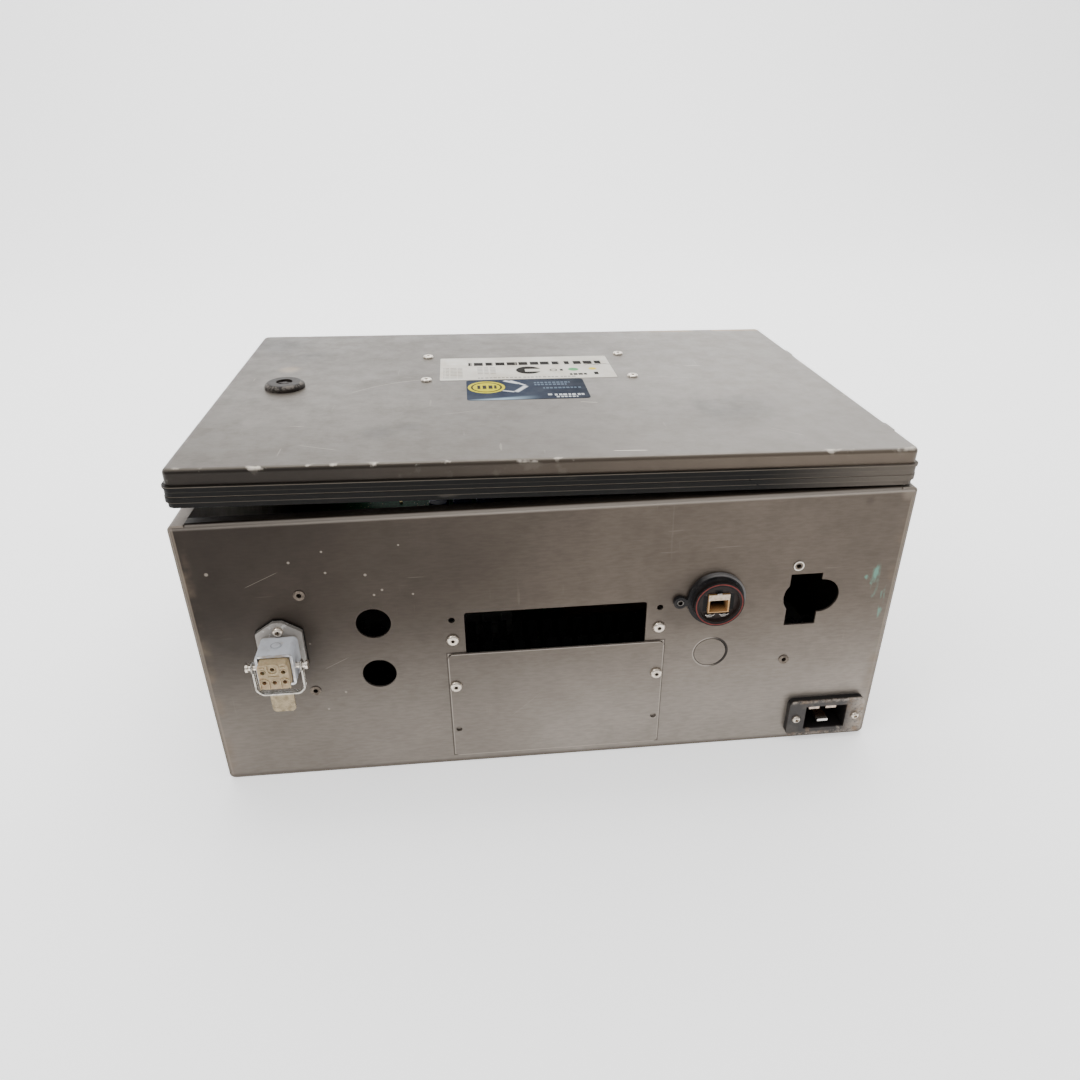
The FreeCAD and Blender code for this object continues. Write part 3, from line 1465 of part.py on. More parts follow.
def build_leads():
    """Inlet to line filter, network port to computer board, and connector to control board."""
    front = -value("case_depth") / 2
    floor = value("tray_floor") + value("tray_gauge")
    tag_row = front - value("inlet_thickness") + value("inlet_mouth_depth") + 13.5
    tag_top = value("inlet_height") + value("blade_rise") + value("blade_thickness") / 2
    filter_row = value("filter_front") - 4
    filter_top = floor + 24.8
    wires = []
    for name, side, end_offset in (("left inlet wire", -1, 33.15), ("right inlet wire", 1, 51.15)):
        x = value("inlet_column") + side * value("blade_pitch") / 2
        end_x = value("filter_left") + end_offset
        shift = end_x - x
        points = [
            (x, tag_row, tag_top),
            (x, tag_row - 1, tag_top + 18),
            (x + 0.1 * shift, tag_row - 4, tag_top + 38),
            (x + 0.4 * shift, tag_row + 4, tag_top + 50),
            (x + 0.7 * shift, filter_row - 6, tag_top + 50),
            (x + 0.95 * shift, filter_row + 2, tag_top + 38),
            (end_x, filter_row, filter_top + 12),
            (end_x, filter_row, filter_top),
        ]
        wires.append(lead_shape(name, 2.5, points))
    lead("inlet_leads", wires)
    port_x = value("port_column")
    port_z = value("port_height")
    jack_back = front - value("port_reach") + value("jack_inset") + value("jack_depth")
    socket_x = value("computer_left") + 34 + 27 * 3 + 10.5
    socket_z = floor + value("computer_lift") + value("board_gauge") + 14
    socket_y = value("computer_front") + 8
    patch = [
        (port_x, jack_back, port_z),
        (port_x, jack_back + 24, port_z),
        (port_x + 1, jack_back + 45, port_z - 12),
        (port_x + 3, jack_back + 57, port_z - 34),
        (port_x + 5, jack_back + 62, port_z - 58),
        (socket_x - 1, jack_back + 68, socket_z + 18),
        (socket_x, jack_back + 84, socket_z + 2),
        (socket_x, socket_y, socket_z),
    ]
    lead("network_lead", [lead_shape("network lead", 5.5, patch)])
    plug_x = value("plug_column")
    plug_z = value("plug_height")
    plug_back = front - value("plug_reach") + value("insert_face") + value("insert_depth")
    terminal_z = value("control_floor") + value("board_gauge") + value("terminal_height") / 2
    terminal_y = value("control_front") + 2
    harness = [
        (plug_x, plug_back, plug_z),
        (plug_x, plug_back + 24, plug_z),
        (plug_x + 2.5, plug_back + 47, plug_z - 7),
        (plug_x + 6, plug_back + 66, plug_z - 18),
        (plug_x + 9.5, terminal_y - 16, terminal_z + 1),
        (plug_x + 10.5, terminal_y - 0.8, terminal_z),
    ]
    lead("connector_harness", [lead_shape("connector harness", 8, harness)])


def main():
    """Build every sub-part, check it, and write its file."""
    build_case_wrap()
    build_connector_panel()
    build_rear_panel()
    build_cover_plate()
    build_panel_fasteners()
    build_door_pan()
    build_door_seal()
    build_door_furniture()
    build_lock()
    build_hinges()
    build_connector()
    build_locking_lever()
    build_network_port()
    build_mains_inlet()
    build_mounting_plate()
    build_supplies()
    build_power_parts()
    build_board_posts()
    build_computer()
    build_control_board()
    build_case_fan()
    build_leads()
    doc.recompute()
    for thing in doc.Objects:
        if "Invalid" in thing.State or "Error" in thing.State:
            raise RuntimeError(f"{thing.Name} ({thing.Label}) failed: {thing.State}")
    for label, piece in parts.items():
        if piece.Shape.isNull() or not piece.Shape.isValid():
            raise RuntimeError(f"{label} has no valid shape")
    os.makedirs("parts", exist_ok=True)
    for label, piece in parts.items():
        piece.Shape.exportStep(f"parts/{label}.step")
    print(len(parts), "sub-parts written")


main()
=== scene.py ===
"""Looks of the steel controller cabinet: materials, worn details, light and camera around the CAD frame."""

import bmesh
import bpy
import json
import math
from mathutils import Matrix, Vector


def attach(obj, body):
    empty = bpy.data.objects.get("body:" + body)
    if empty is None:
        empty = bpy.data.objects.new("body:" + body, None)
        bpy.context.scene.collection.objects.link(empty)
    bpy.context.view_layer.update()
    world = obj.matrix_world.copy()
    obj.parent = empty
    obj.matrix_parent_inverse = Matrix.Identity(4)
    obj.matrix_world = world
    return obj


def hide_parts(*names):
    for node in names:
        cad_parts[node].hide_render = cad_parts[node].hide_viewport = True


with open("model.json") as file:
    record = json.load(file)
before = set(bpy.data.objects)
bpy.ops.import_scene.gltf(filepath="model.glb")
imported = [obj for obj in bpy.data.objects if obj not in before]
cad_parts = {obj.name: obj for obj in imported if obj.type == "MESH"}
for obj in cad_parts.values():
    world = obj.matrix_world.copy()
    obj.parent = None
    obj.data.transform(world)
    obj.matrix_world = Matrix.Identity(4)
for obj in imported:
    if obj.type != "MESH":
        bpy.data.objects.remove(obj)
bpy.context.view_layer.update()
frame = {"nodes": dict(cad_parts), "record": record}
nodes = frame["nodes"]
MM = 0.001
HINGE_X = 0.2415
FLOOR = -0.0004
AJAR = math.tan(math.radians(1.24))
FRONT_Y = -0.15675
FRONT = FRONT_Y / MM
PLUG = (-182.6, 112.3)
PORT = (110.8, 131.0)
KNOCKOUT = (110.8, 85.3)
LOCK = (-189, 0)
UPPER_RIGHT_NUT = (166, 152.5)

# ---- node building ---------------------------------------------------------------------------------


class Graph:
    """A material's node tree with short calls for the few nodes that the finishes need."""

    def __init__(self, name):
        self.material = bpy.data.materials.new(name)
        self.material.use_nodes = True
        self.tree = self.material.node_tree
        self.shader = self.tree.nodes["Principled BSDF"]
        self.place = self.add("ShaderNodeTexCoord").outputs["Object"]
        split = self.add("ShaderNodeSeparateXYZ")
        self.link(self.place, split.inputs[0])
        self.x, self.y, self.z = split.outputs
        self.level = self.math("MULTIPLY_ADD", self.math("SUBTRACT", self.x, HINGE_X), AJAR, self.z)

    def add(self, kind, **settings):
        node = self.tree.nodes.new(kind)
        for name, setting in settings.items():
            setattr(node, name, setting)
        return node

    def link(self, source, target):
        if isinstance(source, bpy.types.NodeSocket):
            self.tree.links.new(source, target)
        else:
            target.default_value = source

    def link_colour(self, source, target):
        """Link a colour socket, or set a plain (red, green, blue) as an opaque colour."""
        self.link((*source, 1.0) if isinstance(source, tuple) else source, target)

    def math(self, operation, first, second=0.0, third=0.0):
        node = self.add("ShaderNodeMath", operation=operation)
        for source, target in zip((first, second, third), node.inputs):
            self.link(source, target)
        return node.outputs[0]

    def both(self, first, second):
        """The product of two values: 1 where both masks are 1."""
        return self.math("MULTIPLY", first, second)

    def step(self, source, low, high, to_low=0.0, to_high=1.0):
        """A smooth step of the source from one value to another."""
        node = self.add("ShaderNodeMapRange", interpolation_type="SMOOTHSTEP")
        for source_value, target in zip((source, low, high, to_low, to_high), node.inputs):
            self.link(source_value, target)
        return node.outputs[0]

    def mix(self, share, first, second, blend="MIX"):
        """A colour between two, by share, or the first blended with the second in another way."""
        node = self.add("ShaderNodeMix", data_type="RGBA", blend_type=blend)
        self.link(share, node.inputs[0])
        self.link_colour(first, node.inputs[6])
        self.link_colour(second, node.inputs[7])
        return node.outputs[2]

    def multiply(self, first, second, share=1.0):
        """The first colour darkened by the second."""
        return self.mix(share, first, second, "MULTIPLY")

    def noise(self, scale, detail=4.0, stretch=(1, 1, 1), roughness=0.5, shift=(0, 0, 0)):
        """Noise in object space; scale is features per metre, stretched along an axis where under 1."""
        mapping = self.add("ShaderNodeMapping")
        mapping.inputs["Scale"].default_value = stretch
        mapping.inputs["Location"].default_value = shift
        self.link(self.place, mapping.inputs["Vector"])
        node = self.add("ShaderNodeTexNoise")
        self.link(mapping.outputs[0], node.inputs["Vector"])
        node.inputs["Scale"].default_value = scale
        node.inputs["Detail"].default_value = detail
        node.inputs["Roughness"].default_value = roughness
        return node.outputs["Fac"]

    def cells(self, scale):
        """Distance to the middle of the nearest of many random cells; scale is cells per metre."""
        node = self.add("ShaderNodeTexVoronoi")
        self.link(self.place, node.inputs["Vector"])
        node.inputs["Scale"].default_value = scale
        return node.outputs["Distance"]

    def box(self, across, along, low, high, soft=0.25):
        """1 inside an upright rectangle of two coordinates, in millimetres, and 0 outside."""
        sides = []
        for axis, start, end in zip((across, along), low, high):
            middle, half = (start + end) / 2 * MM, (end - start) / 2 * MM
            offset = self.math("ABSOLUTE", self.math("SUBTRACT", axis, middle))
            sides.append(self.step(offset, half + soft * MM / 2, half - soft * MM / 2))
        return self.math("MULTIPLY", *sides)

    def ring(self, across, along, centre, radius, half_width, soft=0.3):
        """1 on a circle's line of two coordinates, in millimetres."""
        from_x = self.math("SUBTRACT", across, centre[0] * MM)
        from_y = self.math("SUBTRACT", along, centre[1] * MM)
        squared = self.math("MULTIPLY_ADD", from_x, from_x, self.math("MULTIPLY", from_y, from_y))
        offset = self.math("ABSOLUTE", self.math("SUBTRACT", self.math("SQRT", squared), radius * MM))
        return self.step(offset, (half_width + soft) * MM, half_width * MM)

    def facing(self, axis, sign):
        """1 where the surface faces along an object axis (0, 1 or 2), with that sign."""
        normal = self.add("ShaderNodeSeparateXYZ")
        self.link(self.tree.nodes["Texture Coordinate"].outputs["Normal"], normal.inputs[0])
        return self.step(self.math("MULTIPLY", normal.outputs[axis], sign), 0.35, 0.9)

    def spot(self, across, along, centre, radius, soft=0.5):
        """1 inside a round spot of two coordinates, in millimetres, and 0 outside."""
        flat = [
            self.math("SUBTRACT", axis, middle * MM) for axis, middle in zip((across, along), centre)
        ]
        squared = self.math("ADD", self.both(flat[0], flat[0]), self.both(flat[1], flat[1]))
        return self.step(self.math("SQRT", squared), radius * MM, radius * (1 - soft) * MM)

    def stroke(self, across, along, start, end, width):
        """1 along a straight stroke between two points of two coordinates, in millimetres."""
        run = (end[0] - start[0], end[1] - start[1])
        length = math.hypot(*run)
        unit = (run[0] / length, run[1] / length)
        from_x = self.math("SUBTRACT", across, start[0] * MM)
        from_y = self.math("SUBTRACT", along, start[1] * MM)
        forward = self.math("MULTIPLY_ADD", from_x, unit[0], self.math("MULTIPLY", from_y, unit[1]))
        aside = self.math("MULTIPLY_ADD", from_x, -unit[1], self.math("MULTIPLY", from_y, unit[0]))
        ends = self.math("ABSOLUTE", self.math("SUBTRACT", forward, length * MM / 2))
        inside = self.step(ends, length * MM / 2, length * MM / 2 * 0.7)
        return self.both(inside, self.step(self.math("ABSOLUTE", aside), width * MM, width * 0.3 * MM))

    def most(self, *values):
        """The largest of several masks."""
        result = values[0]
        for value in values[1:]:
            result = self.math("MAXIMUM", result, value)
        return result

    def bump(self, height, strength, distance):
        """Relief from a height mask."""
        node = self.add("ShaderNodeBump")
        node.inputs["Strength"].default_value = strength
        node.inputs["Distance"].default_value = distance
        self.link(height, node.inputs["Height"])
        self.link(node.outputs[0], self.shader.inputs["Normal"])

    def finish(self, colour, roughness, metallic=0.0, **constants):
        """The finished material; other shader inputs are given by name, with _ for a space."""
        self.link_colour(colour, self.shader.inputs["Base Color"])
        self.link(roughness, self.shader.inputs["Roughness"])
        self.link(metallic, self.shader.inputs["Metallic"])
        for name, constant in constants.items():
            self.shader.inputs[name.replace("_", " ")].default_value = constant
        return self.material


# ---- sheet steel -----------------------------------------------------------------------------------


def satin_base(graph, dark, light):
    """Cloudy satin steel: its colour, its roughness and the height of its fine mottling."""
    clouds = graph.noise(5.5, 3, roughness=0.6)
    mottling = graph.noise(55, 6, roughness=0.72, shift=(0.3, 0.1, 0.7))
    grain = graph.noise(620, 3, stretch=(0.22, 1, 1))
    tone = graph.mix(graph.step(clouds, 0.32, 0.68), dark, light)
    tone = graph.mix(graph.both(graph.step(mottling, 0.42, 0.72), 0.30), tone, dark)
    streaks = graph.mix(graph.step(grain, 0.3, 0.7), (0.80, 0.785, 0.765), (1.0, 1.0, 1.0))
    shaded = graph.multiply(tone, streaks, 0.6)
    roughness = graph.step(mottling, 0.3, 0.75, 0.34, 0.48)
    height = graph.math("ADD", graph.both(grain, 0.6), graph.both(mottling, 0.8))
    return shaded, roughness, height


def fine_scratches(graph, direction, amount):
    """Sparse faint hairline scratches in one direction."""
    lines = graph.noise(380, 1, stretch=direction, shift=(4.1, 1.7, 2.2))
    patches = graph.noise(13, 2, shift=(1.5, 3.2, 0.4))
    return graph.both(
        graph.step(lines, 0.73, 0.78),
        graph.both(graph.step(patches, 0.52, 0.66), amount),
    )


PANEL_DINGS = (
    (-220.8, 171.8, 1.6), (-169.1, 177.1, 1.2), (-147.7, 183.7, 1.0), (-147.2, 168.2, 1.1),
    (-122.3, 165.0, 1.3), (-118.2, 149.5, 1.1), (-112.7, 153.0, 1.1), (-93.0, 148.5, 1.0),
    (-99.3, 185.6, 0.9), (-164.4, 114.0, 1.0), (-159.2, 57.5, 1.1), (-145.7, 71.5, 1.2),
)


def panel_steel():
    """Connector side: painted shade, dark at the upper left and paler below, with dings, weld line, paint,
    darker patches, a painted shadow round the cover plate and in the knockout's cut, and painted highlights
    on the knockout's left edge, the top edge and the plate's border.
    """
    graph = Graph("panel_steel")
    satin, roughness, height = satin_base(graph, (0.80, 0.79, 0.78), (1.0, 1.0, 1.0))
    # Painted shade and light: dark at the upper left and paler towards the foot, standing in for how the
    # light falls on the steel.
    wander = graph.both(graph.math("SUBTRACT", graph.noise(6, 4), 0.5), 0.16)
    across = graph.step(graph.math("ADD", graph.x, wander), -0.235, 0.10)
    down = graph.step(graph.math("ADD", graph.z, graph.both(wander, 0.35)), 0.148, 0.004)
    tone = graph.mix(across, (0.019, 0.0128, 0.0086), (0.092, 0.073, 0.057))
    foot = graph.mix(across, (0.19, 0.166, 0.142), (0.285, 0.254, 0.222))
    tone = graph.mix(down, tone, foot)
    colour = graph.multiply(tone, satin)
    dings = graph.most(*[graph.spot(graph.x, graph.z, (x, z), size, 0.6) for x, z, size in PANEL_DINGS])
    scratches = graph.most(
        fine_scratches(graph, (1, 1, 0.08), 0.10),
        fine_scratches(graph, (0.06, 1, 1), 0.22),
        graph.both(graph.most(
            graph.stroke(graph.x, graph.z, (-140, 101), (-158, 92), 0.30),
            graph.stroke(graph.x, graph.z, (-200, 160), (-176, 171), 0.25),
            graph.stroke(graph.x, graph.z, (96, 58), (141, 30), 0.2),
            graph.stroke(graph.x, graph.z, (-32, 40), (-8, 62), 0.2),
        ), 0.5),
    )
    colour = graph.mix(graph.both(graph.most(dings, scratches), 0.42), colour, (0.36, 0.31, 0.26))
    seam_x = graph.math("ABSOLUTE", graph.math("SUBTRACT", graph.math("ABSOLUTE", graph.x), 0.2352))
    seam = graph.step(seam_x, 0.0010, 0.0003)
    corner = graph.spot(graph.x, graph.z, (233, 203), 7, 0.8)
    heat = graph.both(graph.step(seam_x, 0.008, 0.001), graph.step(graph.noise(60, 3), 0.42, 0.7))
    colour = graph.mix(graph.both(heat, 0.45), colour, (0.13, 0.095, 0.065))
    colour = graph.mix(graph.both(graph.most(seam, corner), 0.4), colour, (0.22, 0.18, 0.14))
    marks = graph.most(
        graph.stroke(graph.x, graph.z, (221.5, 152), (223, 116), 3.4),
        graph.stroke(graph.x, graph.z, (229, 134), (231, 104), 2.2),
        graph.stroke(graph.x, graph.z, (214, 142), (222, 133), 1.8),
    )
    flaking = graph.step(graph.noise(120, 4, stretch=(1.6, 1, 0.6)), 0.44, 0.60)
    colour = graph.mix(graph.both(marks, graph.both(flaking, 0.5)), colour,
                       (0.11, 0.31, 0.24))
    right = graph.step(graph.x, 0.1085, 0.1205)
    # Knockout: its cut is painted as a dark crescent of shade on the right side, and its left edge gets a
    # painted highlight.
    slit_shade = graph.both(graph.ring(graph.x, graph.z, KNOCKOUT, 12.1, 0.8), right)
    knockout_highlight = graph.both(graph.ring(graph.x, graph.z, KNOCKOUT, 12.2, 0.25), graph.math("SUBTRACT", 1.0, right))
    colour = graph.mix(graph.both(knockout_highlight, 0.3), colour, (0.50, 0.45, 0.40))
    # Darker: the knockout's painted shade, a spot near the top right, the bottom few millimetres and broad
    # patches round the port and the plug.
    darkening = graph.most(
        slit_shade,
        graph.both(graph.spot(graph.x, graph.z, (207, 199), 4.5, 0.9), 0.5),
        graph.both(graph.step(graph.z, 0.0042, 0.0012), 0.7),
        graph.both(graph.spot(graph.x, graph.z, (90, 128), 30, 0.7), 0.45),
        graph.both(graph.spot(graph.x, graph.z, (-183, 108), 44, 0.75), 0.6),
    )
    colour = graph.mix(graph.both(darkening, 0.75), colour, (0.030, 0.023, 0.018))
    colour = graph.mix(graph.both(slit_shade, 0.9), colour, (0.012, 0.009, 0.007))
    # Painted highlight along the top edge, where the sheet turns over.
    top_bend_highlight = graph.both(graph.step(graph.z, 0.2030, 0.2052), graph.step(graph.x, -0.24, 0.0, 0.35, 0.75))
    colour = graph.mix(graph.both(top_bend_highlight, graph.facing(1, -1)), colour, (0.30, 0.265, 0.23))
    # Painted shadow just outside the cover plate and a painted highlight along its border.
    plate = graph.box(graph.x, graph.z, (-73.6, 6.9), (77.1, 98.3))
    plate_contact_shadow = graph.math("SUBTRACT", graph.box(graph.x, graph.z, (-74.6, 5.9), (78.1, 99.3)), plate)
    rim = graph.math("SUBTRACT", plate, graph.box(graph.x, graph.z, (-72.9, 7.6), (76.4, 97.6)))
    colour = graph.mix(graph.both(plate_contact_shadow, 0.6), colour, (0.030, 0.023, 0.018))
    colour = graph.mix(graph.both(rim, 0.45), colour, (0.42, 0.37, 0.32))
    graph.bump(graph.math("SUBTRACT", height, graph.both(dings, 3.0)), 0.13, 0.0004)
    return graph.finish(colour, roughness, 0.70)


def wrap_steel():
    """Side walls, back and rims."""
    graph = Graph("wrap_steel")
    colour, roughness, height = satin_base(graph, (0.125, 0.104, 0.084), (0.18, 0.156, 0.132))
    scratches = graph.most(fine_scratches(graph, (1, 0.06, 1), 0.5), fine_scratches(graph, (1, 1, 0.07), 0.4))
    colour = graph.mix(graph.both(scratches, 0.5), colour, (0.55, 0.50, 0.44))
    low = graph.step(graph.math("ADD", graph.z, graph.both(graph.noise(14, 3), 0.02)), 0.026, 0.010)
    colour = graph.mix(graph.both(low, 0.35), colour, (0.07, 0.055, 0.045))
    graph.bump(height, 0.12, 0.0004)
    return graph.finish(colour, roughness, 0.70)


def door_steel():
    """Door: pale top, paler towards the right in a painted reflection, stained towards the back, smudged,
    with a flange darkened by painted shade and worn at its edges, and long scratches.
    """
    graph = Graph("door_steel")
    colour, roughness, height = satin_base(graph, (0.088, 0.075, 0.060), (0.126, 0.112, 0.094))
    # Painted reflection: the top turns paler towards the right.
    right = graph.step(graph.math("MULTIPLY_ADD", graph.noise(6, 3), 0.16, graph.x), 0.0, 0.28)
    colour = graph.mix(graph.both(right, 0.6), colour, (0.27, 0.247, 0.222))
    smoke = graph.noise(10, 5, roughness=0.62, shift=(2.2, 0.4, 0))
    stains = graph.most(
        graph.both(graph.spot(graph.x, graph.y, (-216, 119), 46, 0.85), graph.step(smoke, 0.28, 0.5)),
        graph.both(graph.spot(graph.x, graph.y, (-184, 84), 34, 0.9), graph.step(smoke, 0.38, 0.6)),
        graph.both(graph.spot(graph.x, graph.y, (-110, -102), 17, 0.85), 0.62),
        graph.both(graph.spot(graph.x, graph.y, (-91, -92), 13, 0.85), 0.55),
        graph.both(graph.spot(graph.x, graph.y, (137, 72), 60, 0.95), graph.step(smoke, 0.45, 0.7)),
        graph.both(graph.spot(graph.x, graph.y, (126, -56), 62, 0.95), graph.step(smoke, 0.45, 0.7)),
    )
    outside = graph.facing(2, 1)
    stains = graph.both(graph.both(stains, 0.72), outside)
    colour = graph.mix(stains, colour, (0.024, 0.0195, 0.015))
    # Painted shade on the front flange, darkest at the left.
    flange = graph.facing(1, -1)
    flange_shade = graph.mix(graph.step(graph.x, -0.20, 0.22), (0.0095, 0.0062, 0.0038), (0.090, 0.068, 0.049))
    colour = graph.mix(graph.both(flange, 0.96), colour, flange_shade)
    tan = graph.most(
        graph.both(graph.spot(graph.x, graph.y, (-193, 46), 12, 0.8), 0.5),
        graph.both(graph.step(graph.y, 0.1448, 0.1475),
                   graph.both(graph.step(graph.x, 0.10, 0.17), graph.step(graph.noise(30, 4), 0.38, 0.5))),
    )
    tan = graph.both(graph.both(tan, 0.7), outside)
    colour = graph.mix(tan, colour, (0.40, 0.30, 0.19))
    from_end = graph.math("ABSOLUTE", graph.math("SUBTRACT", graph.x, -0.078))
    swing = graph.math("MULTIPLY_ADD", graph.math("POWER", from_end, 2.0), -8.2, 0.011)
    curve = graph.math("ABSOLUTE", graph.math("SUBTRACT", graph.y, swing))
    arc = graph.both(graph.step(curve, 0.0007, 0.0002),
                     graph.both(graph.step(graph.x, -0.146, -0.13), graph.step(graph.x, -0.078, -0.09)))
    scratches = graph.most(
        fine_scratches(graph, (0.07, 1, 1), 0.30),
        fine_scratches(graph, (1, 0.09, 1), 0.25),
        graph.both(arc, 0.4),
        graph.stroke(graph.x, graph.y, (38, -143.6), (62, -144.6), 0.8),
        graph.stroke(graph.x, graph.y, (31, -49), (45, -52), 0.45),
        graph.both(graph.most(
            graph.stroke(graph.x, graph.y, (-70, -70), (-40, -62), 0.25),
            graph.stroke(graph.x, graph.y, (90, 10), (128, 2), 0.25),
            graph.stroke(graph.x, graph.y, (-160, -120), (-132, -131), 0.3),
            graph.stroke(graph.x, graph.y, (150, -110), (171, -128), 0.3),
        ), 0.5),
    )
    edge = graph.most(
        graph.both(graph.step(graph.math("ABSOLUTE", graph.y), 0.1495, 0.1530),
                   graph.step(graph.math("ABSOLUTE", graph.y), 0.1546, 0.1538)),
        graph.both(graph.step(graph.math("ABSOLUTE", graph.x), 0.2300, 0.2335),
                   graph.step(graph.math("ABSOLUTE", graph.x), 0.2351, 0.2343)),
    )
    worn = graph.both(edge, graph.step(graph.noise(70, 4), 0.60, 0.70))
    scratches = graph.both(scratches, outside)
    colour = graph.mix(graph.both(graph.most(scratches, worn), 0.65), colour, (0.62, 0.56, 0.48))
    graph.bump(height, 0.12, 0.0004)
    return graph.finish(colour, roughness, 0.62)


def bright_steel(name, colour=(0.74, 0.67, 0.58), roughness=0.2, dirt=0.35):
    """Plated fasteners and small stainless parts: bright, with soft wear and dirt in patches."""
    graph = Graph(name)
    patches = graph.noise(420, 3)
    grain = graph.noise(2600, 2)
    dirty = graph.mix(graph.step(patches, 0.42, 0.72), colour, tuple(part * (1 - dirt) for part in colour))
    graph.bump(grain, 0.12, 0.0001)
    return graph.finish(dirty, graph.step(patches, 0.3, 0.7, roughness, roughness + 0.15), 1.0)


def screw_steel(name, heads, colour=(0.56, 0.49, 0.41)):
    """Button heads on the connector side: painted warm highlights round the rims and painted shade in the
    socket of each, at (x, z, socket radius).
    """
    graph = Graph(name)
    patches = graph.noise(300, 3)
    tone = graph.mix(graph.step(patches, 0.42, 0.72), colour, tuple(part * 0.7 for part in colour))
    # Painted shade in the hex socket of each head.
    socket_shade = graph.most(*[graph.spot(graph.x, graph.z, (x, z), size, 0.3) for x, z, size in heads])
    # Painted highlight round each domed head.
    rim_highlights = graph.most(*[graph.ring(graph.x, graph.z, (x, z), size * 1.9, 0.2, 0.7) for x, z, size in heads])
    tone = graph.mix(graph.both(rim_highlights, 0.45), tone, (0.80, 0.72, 0.62))
    tone = graph.mix(socket_shade, tone, (0.022, 0.016, 0.012))
    graph.bump(patches, 0.05, 0.0001)
    return graph.finish(tone, graph.step(patches, 0.3, 0.7, 0.24, 0.36), 0.95)


def nut_steel():
    """Dark press-in nuts; only the upper right one has a bright rim."""
    graph = Graph("nut_steel")
    patches = graph.noise(500, 3)
    upper_right_spot = graph.spot(graph.x, graph.z, UPPER_RIGHT_NUT, 12, 0.3)
    rim = graph.ring(graph.x, graph.z, UPPER_RIGHT_NUT, 3.2, 0.25)
    tone = graph.mix(graph.step(patches, 0.4, 0.7), (0.13, 0.105, 0.083), (0.07, 0.055, 0.042))
    tone = graph.mix(graph.both(upper_right_spot, rim), tone, (0.60, 0.55, 0.48))
    graph.bump(patches, 0.1, 0.0001)
    return graph.finish(tone, graph.step(patches, 0.3, 0.7, 0.35, 0.5), 0.75)


def blade_metal():
    """Inlet blades: bright silver tips on browned bodies."""
    graph = Graph("blade_metal")
    stain = graph.noise(380, 4)
    tip = graph.step(graph.y, FRONT_Y + 0.0026, FRONT_Y - 0.0016)
    body = graph.mix(graph.step(stain, 0.35, 0.7), (0.50, 0.33, 0.22), (0.24, 0.15, 0.10))
    tone = graph.mix(tip, body, (0.80, 0.77, 0.72))
    graph.bump(stain, 0.1, 0.0001)
    return graph.finish(tone, graph.step(stain, 0.3, 0.7, 0.24, 0.4), 0.95)


def tab_metal():
    """Bail: bright stainless strip, with a dull brass tone on the thumb tab."""
    graph = Graph("tab_metal")
    wear = graph.noise(260, 4)
    below = graph.step(graph.z, 0.0908, 0.0896)
    strip = graph.mix(graph.step(wear, 0.4, 0.7), (0.48, 0.455, 0.41), (0.29, 0.265, 0.23))
    tab = graph.mix(graph.step(wear, 0.35, 0.7), (0.27, 0.22, 0.145), (0.17, 0.135, 0.085))
    graph.bump(graph.noise(1900, 2, stretch=(0.1, 1, 1)), 0.15, 0.0001)
    return graph.finish(graph.mix(below, strip, tab), graph.step(wear, 0.3, 0.7, 0.2, 0.36), 0.95)


def jack_metal():
    """Network jack: bright warm face, brass and brown light falling off inside the mouth."""
    graph = Graph("jack_metal")
    patches = graph.noise(500, 4)
    face = graph.step(graph.y, FRONT_Y - 0.0072, FRONT_Y - 0.0076)
    depth = graph.step(graph.y, FRONT_Y + 0.004, FRONT_Y - 0.0065)
    stripes = graph.step(graph.math("FRACT", graph.both(graph.x, 980.0)), 0.3, 0.55)
    inside = graph.mix(graph.both(stripes, 0.4), (0.62, 0.34, 0.13), (0.90, 0.62, 0.32))
    inside = graph.mix(depth, (0.06, 0.03, 0.015), inside)
    tone = graph.mix(graph.step(patches, 0.4, 0.7), (0.44, 0.355, 0.27), (0.33, 0.255, 0.18))
    tone = graph.mix(graph.step(graph.z, 0.1336, 0.1330), tone, (0.33, 0.19, 0.080))
    colour = graph.mix(face, inside, tone)
    graph.bump(patches, 0.15, 0.0001)
    return graph.finish(colour, graph.step(patches, 0.3, 0.7, 0.28, 0.42), 0.55)


def alloy(name, colour, roughness=0.42, stretch=(1, 0.05, 1)):
    """Bare or zinc plated sheet and extruded alloy inside the cabinet."""
    graph = Graph(name)
    spangle = graph.cells(90)
    grain = graph.noise(1500, 2, stretch=stretch)
    tone = graph.mix(graph.step(spangle, 0.1, 0.7), tuple(part * 0.86 for part in colour), colour)
    tone = graph.mix(graph.both(graph.step(grain, 0.4, 0.7), 0.2), tone, tuple(part * 0.6 for part in colour))
    graph.bump(grain, 0.1, 0.0002)
    return graph.finish(tone, graph.step(spangle, 0.0, 0.8, roughness, roughness + 0.12), 0.85)


# ---- plastics, rubber, paper -----------------------------------------------------------------------


def plastic(name, colour, roughness=0.5, dust=0.25, dust_colour=(0.16, 0.14, 0.12)):
    """Moulded plastic with a fine spark texture and dust in patches."""
    graph = Graph(name)
    patches = graph.noise(60, 5, roughness=0.65)
    tone = graph.mix(graph.both(graph.step(patches, 0.45, 0.75), dust), colour, dust_colour)
    graph.bump(graph.noise(1800, 2), 0.25, 0.00015)
    return graph.finish(tone, graph.step(patches, 0.3, 0.8, roughness, min(roughness + 0.2, 1.0)), 0.0,
                        Specular_IOR_Level=0.3)


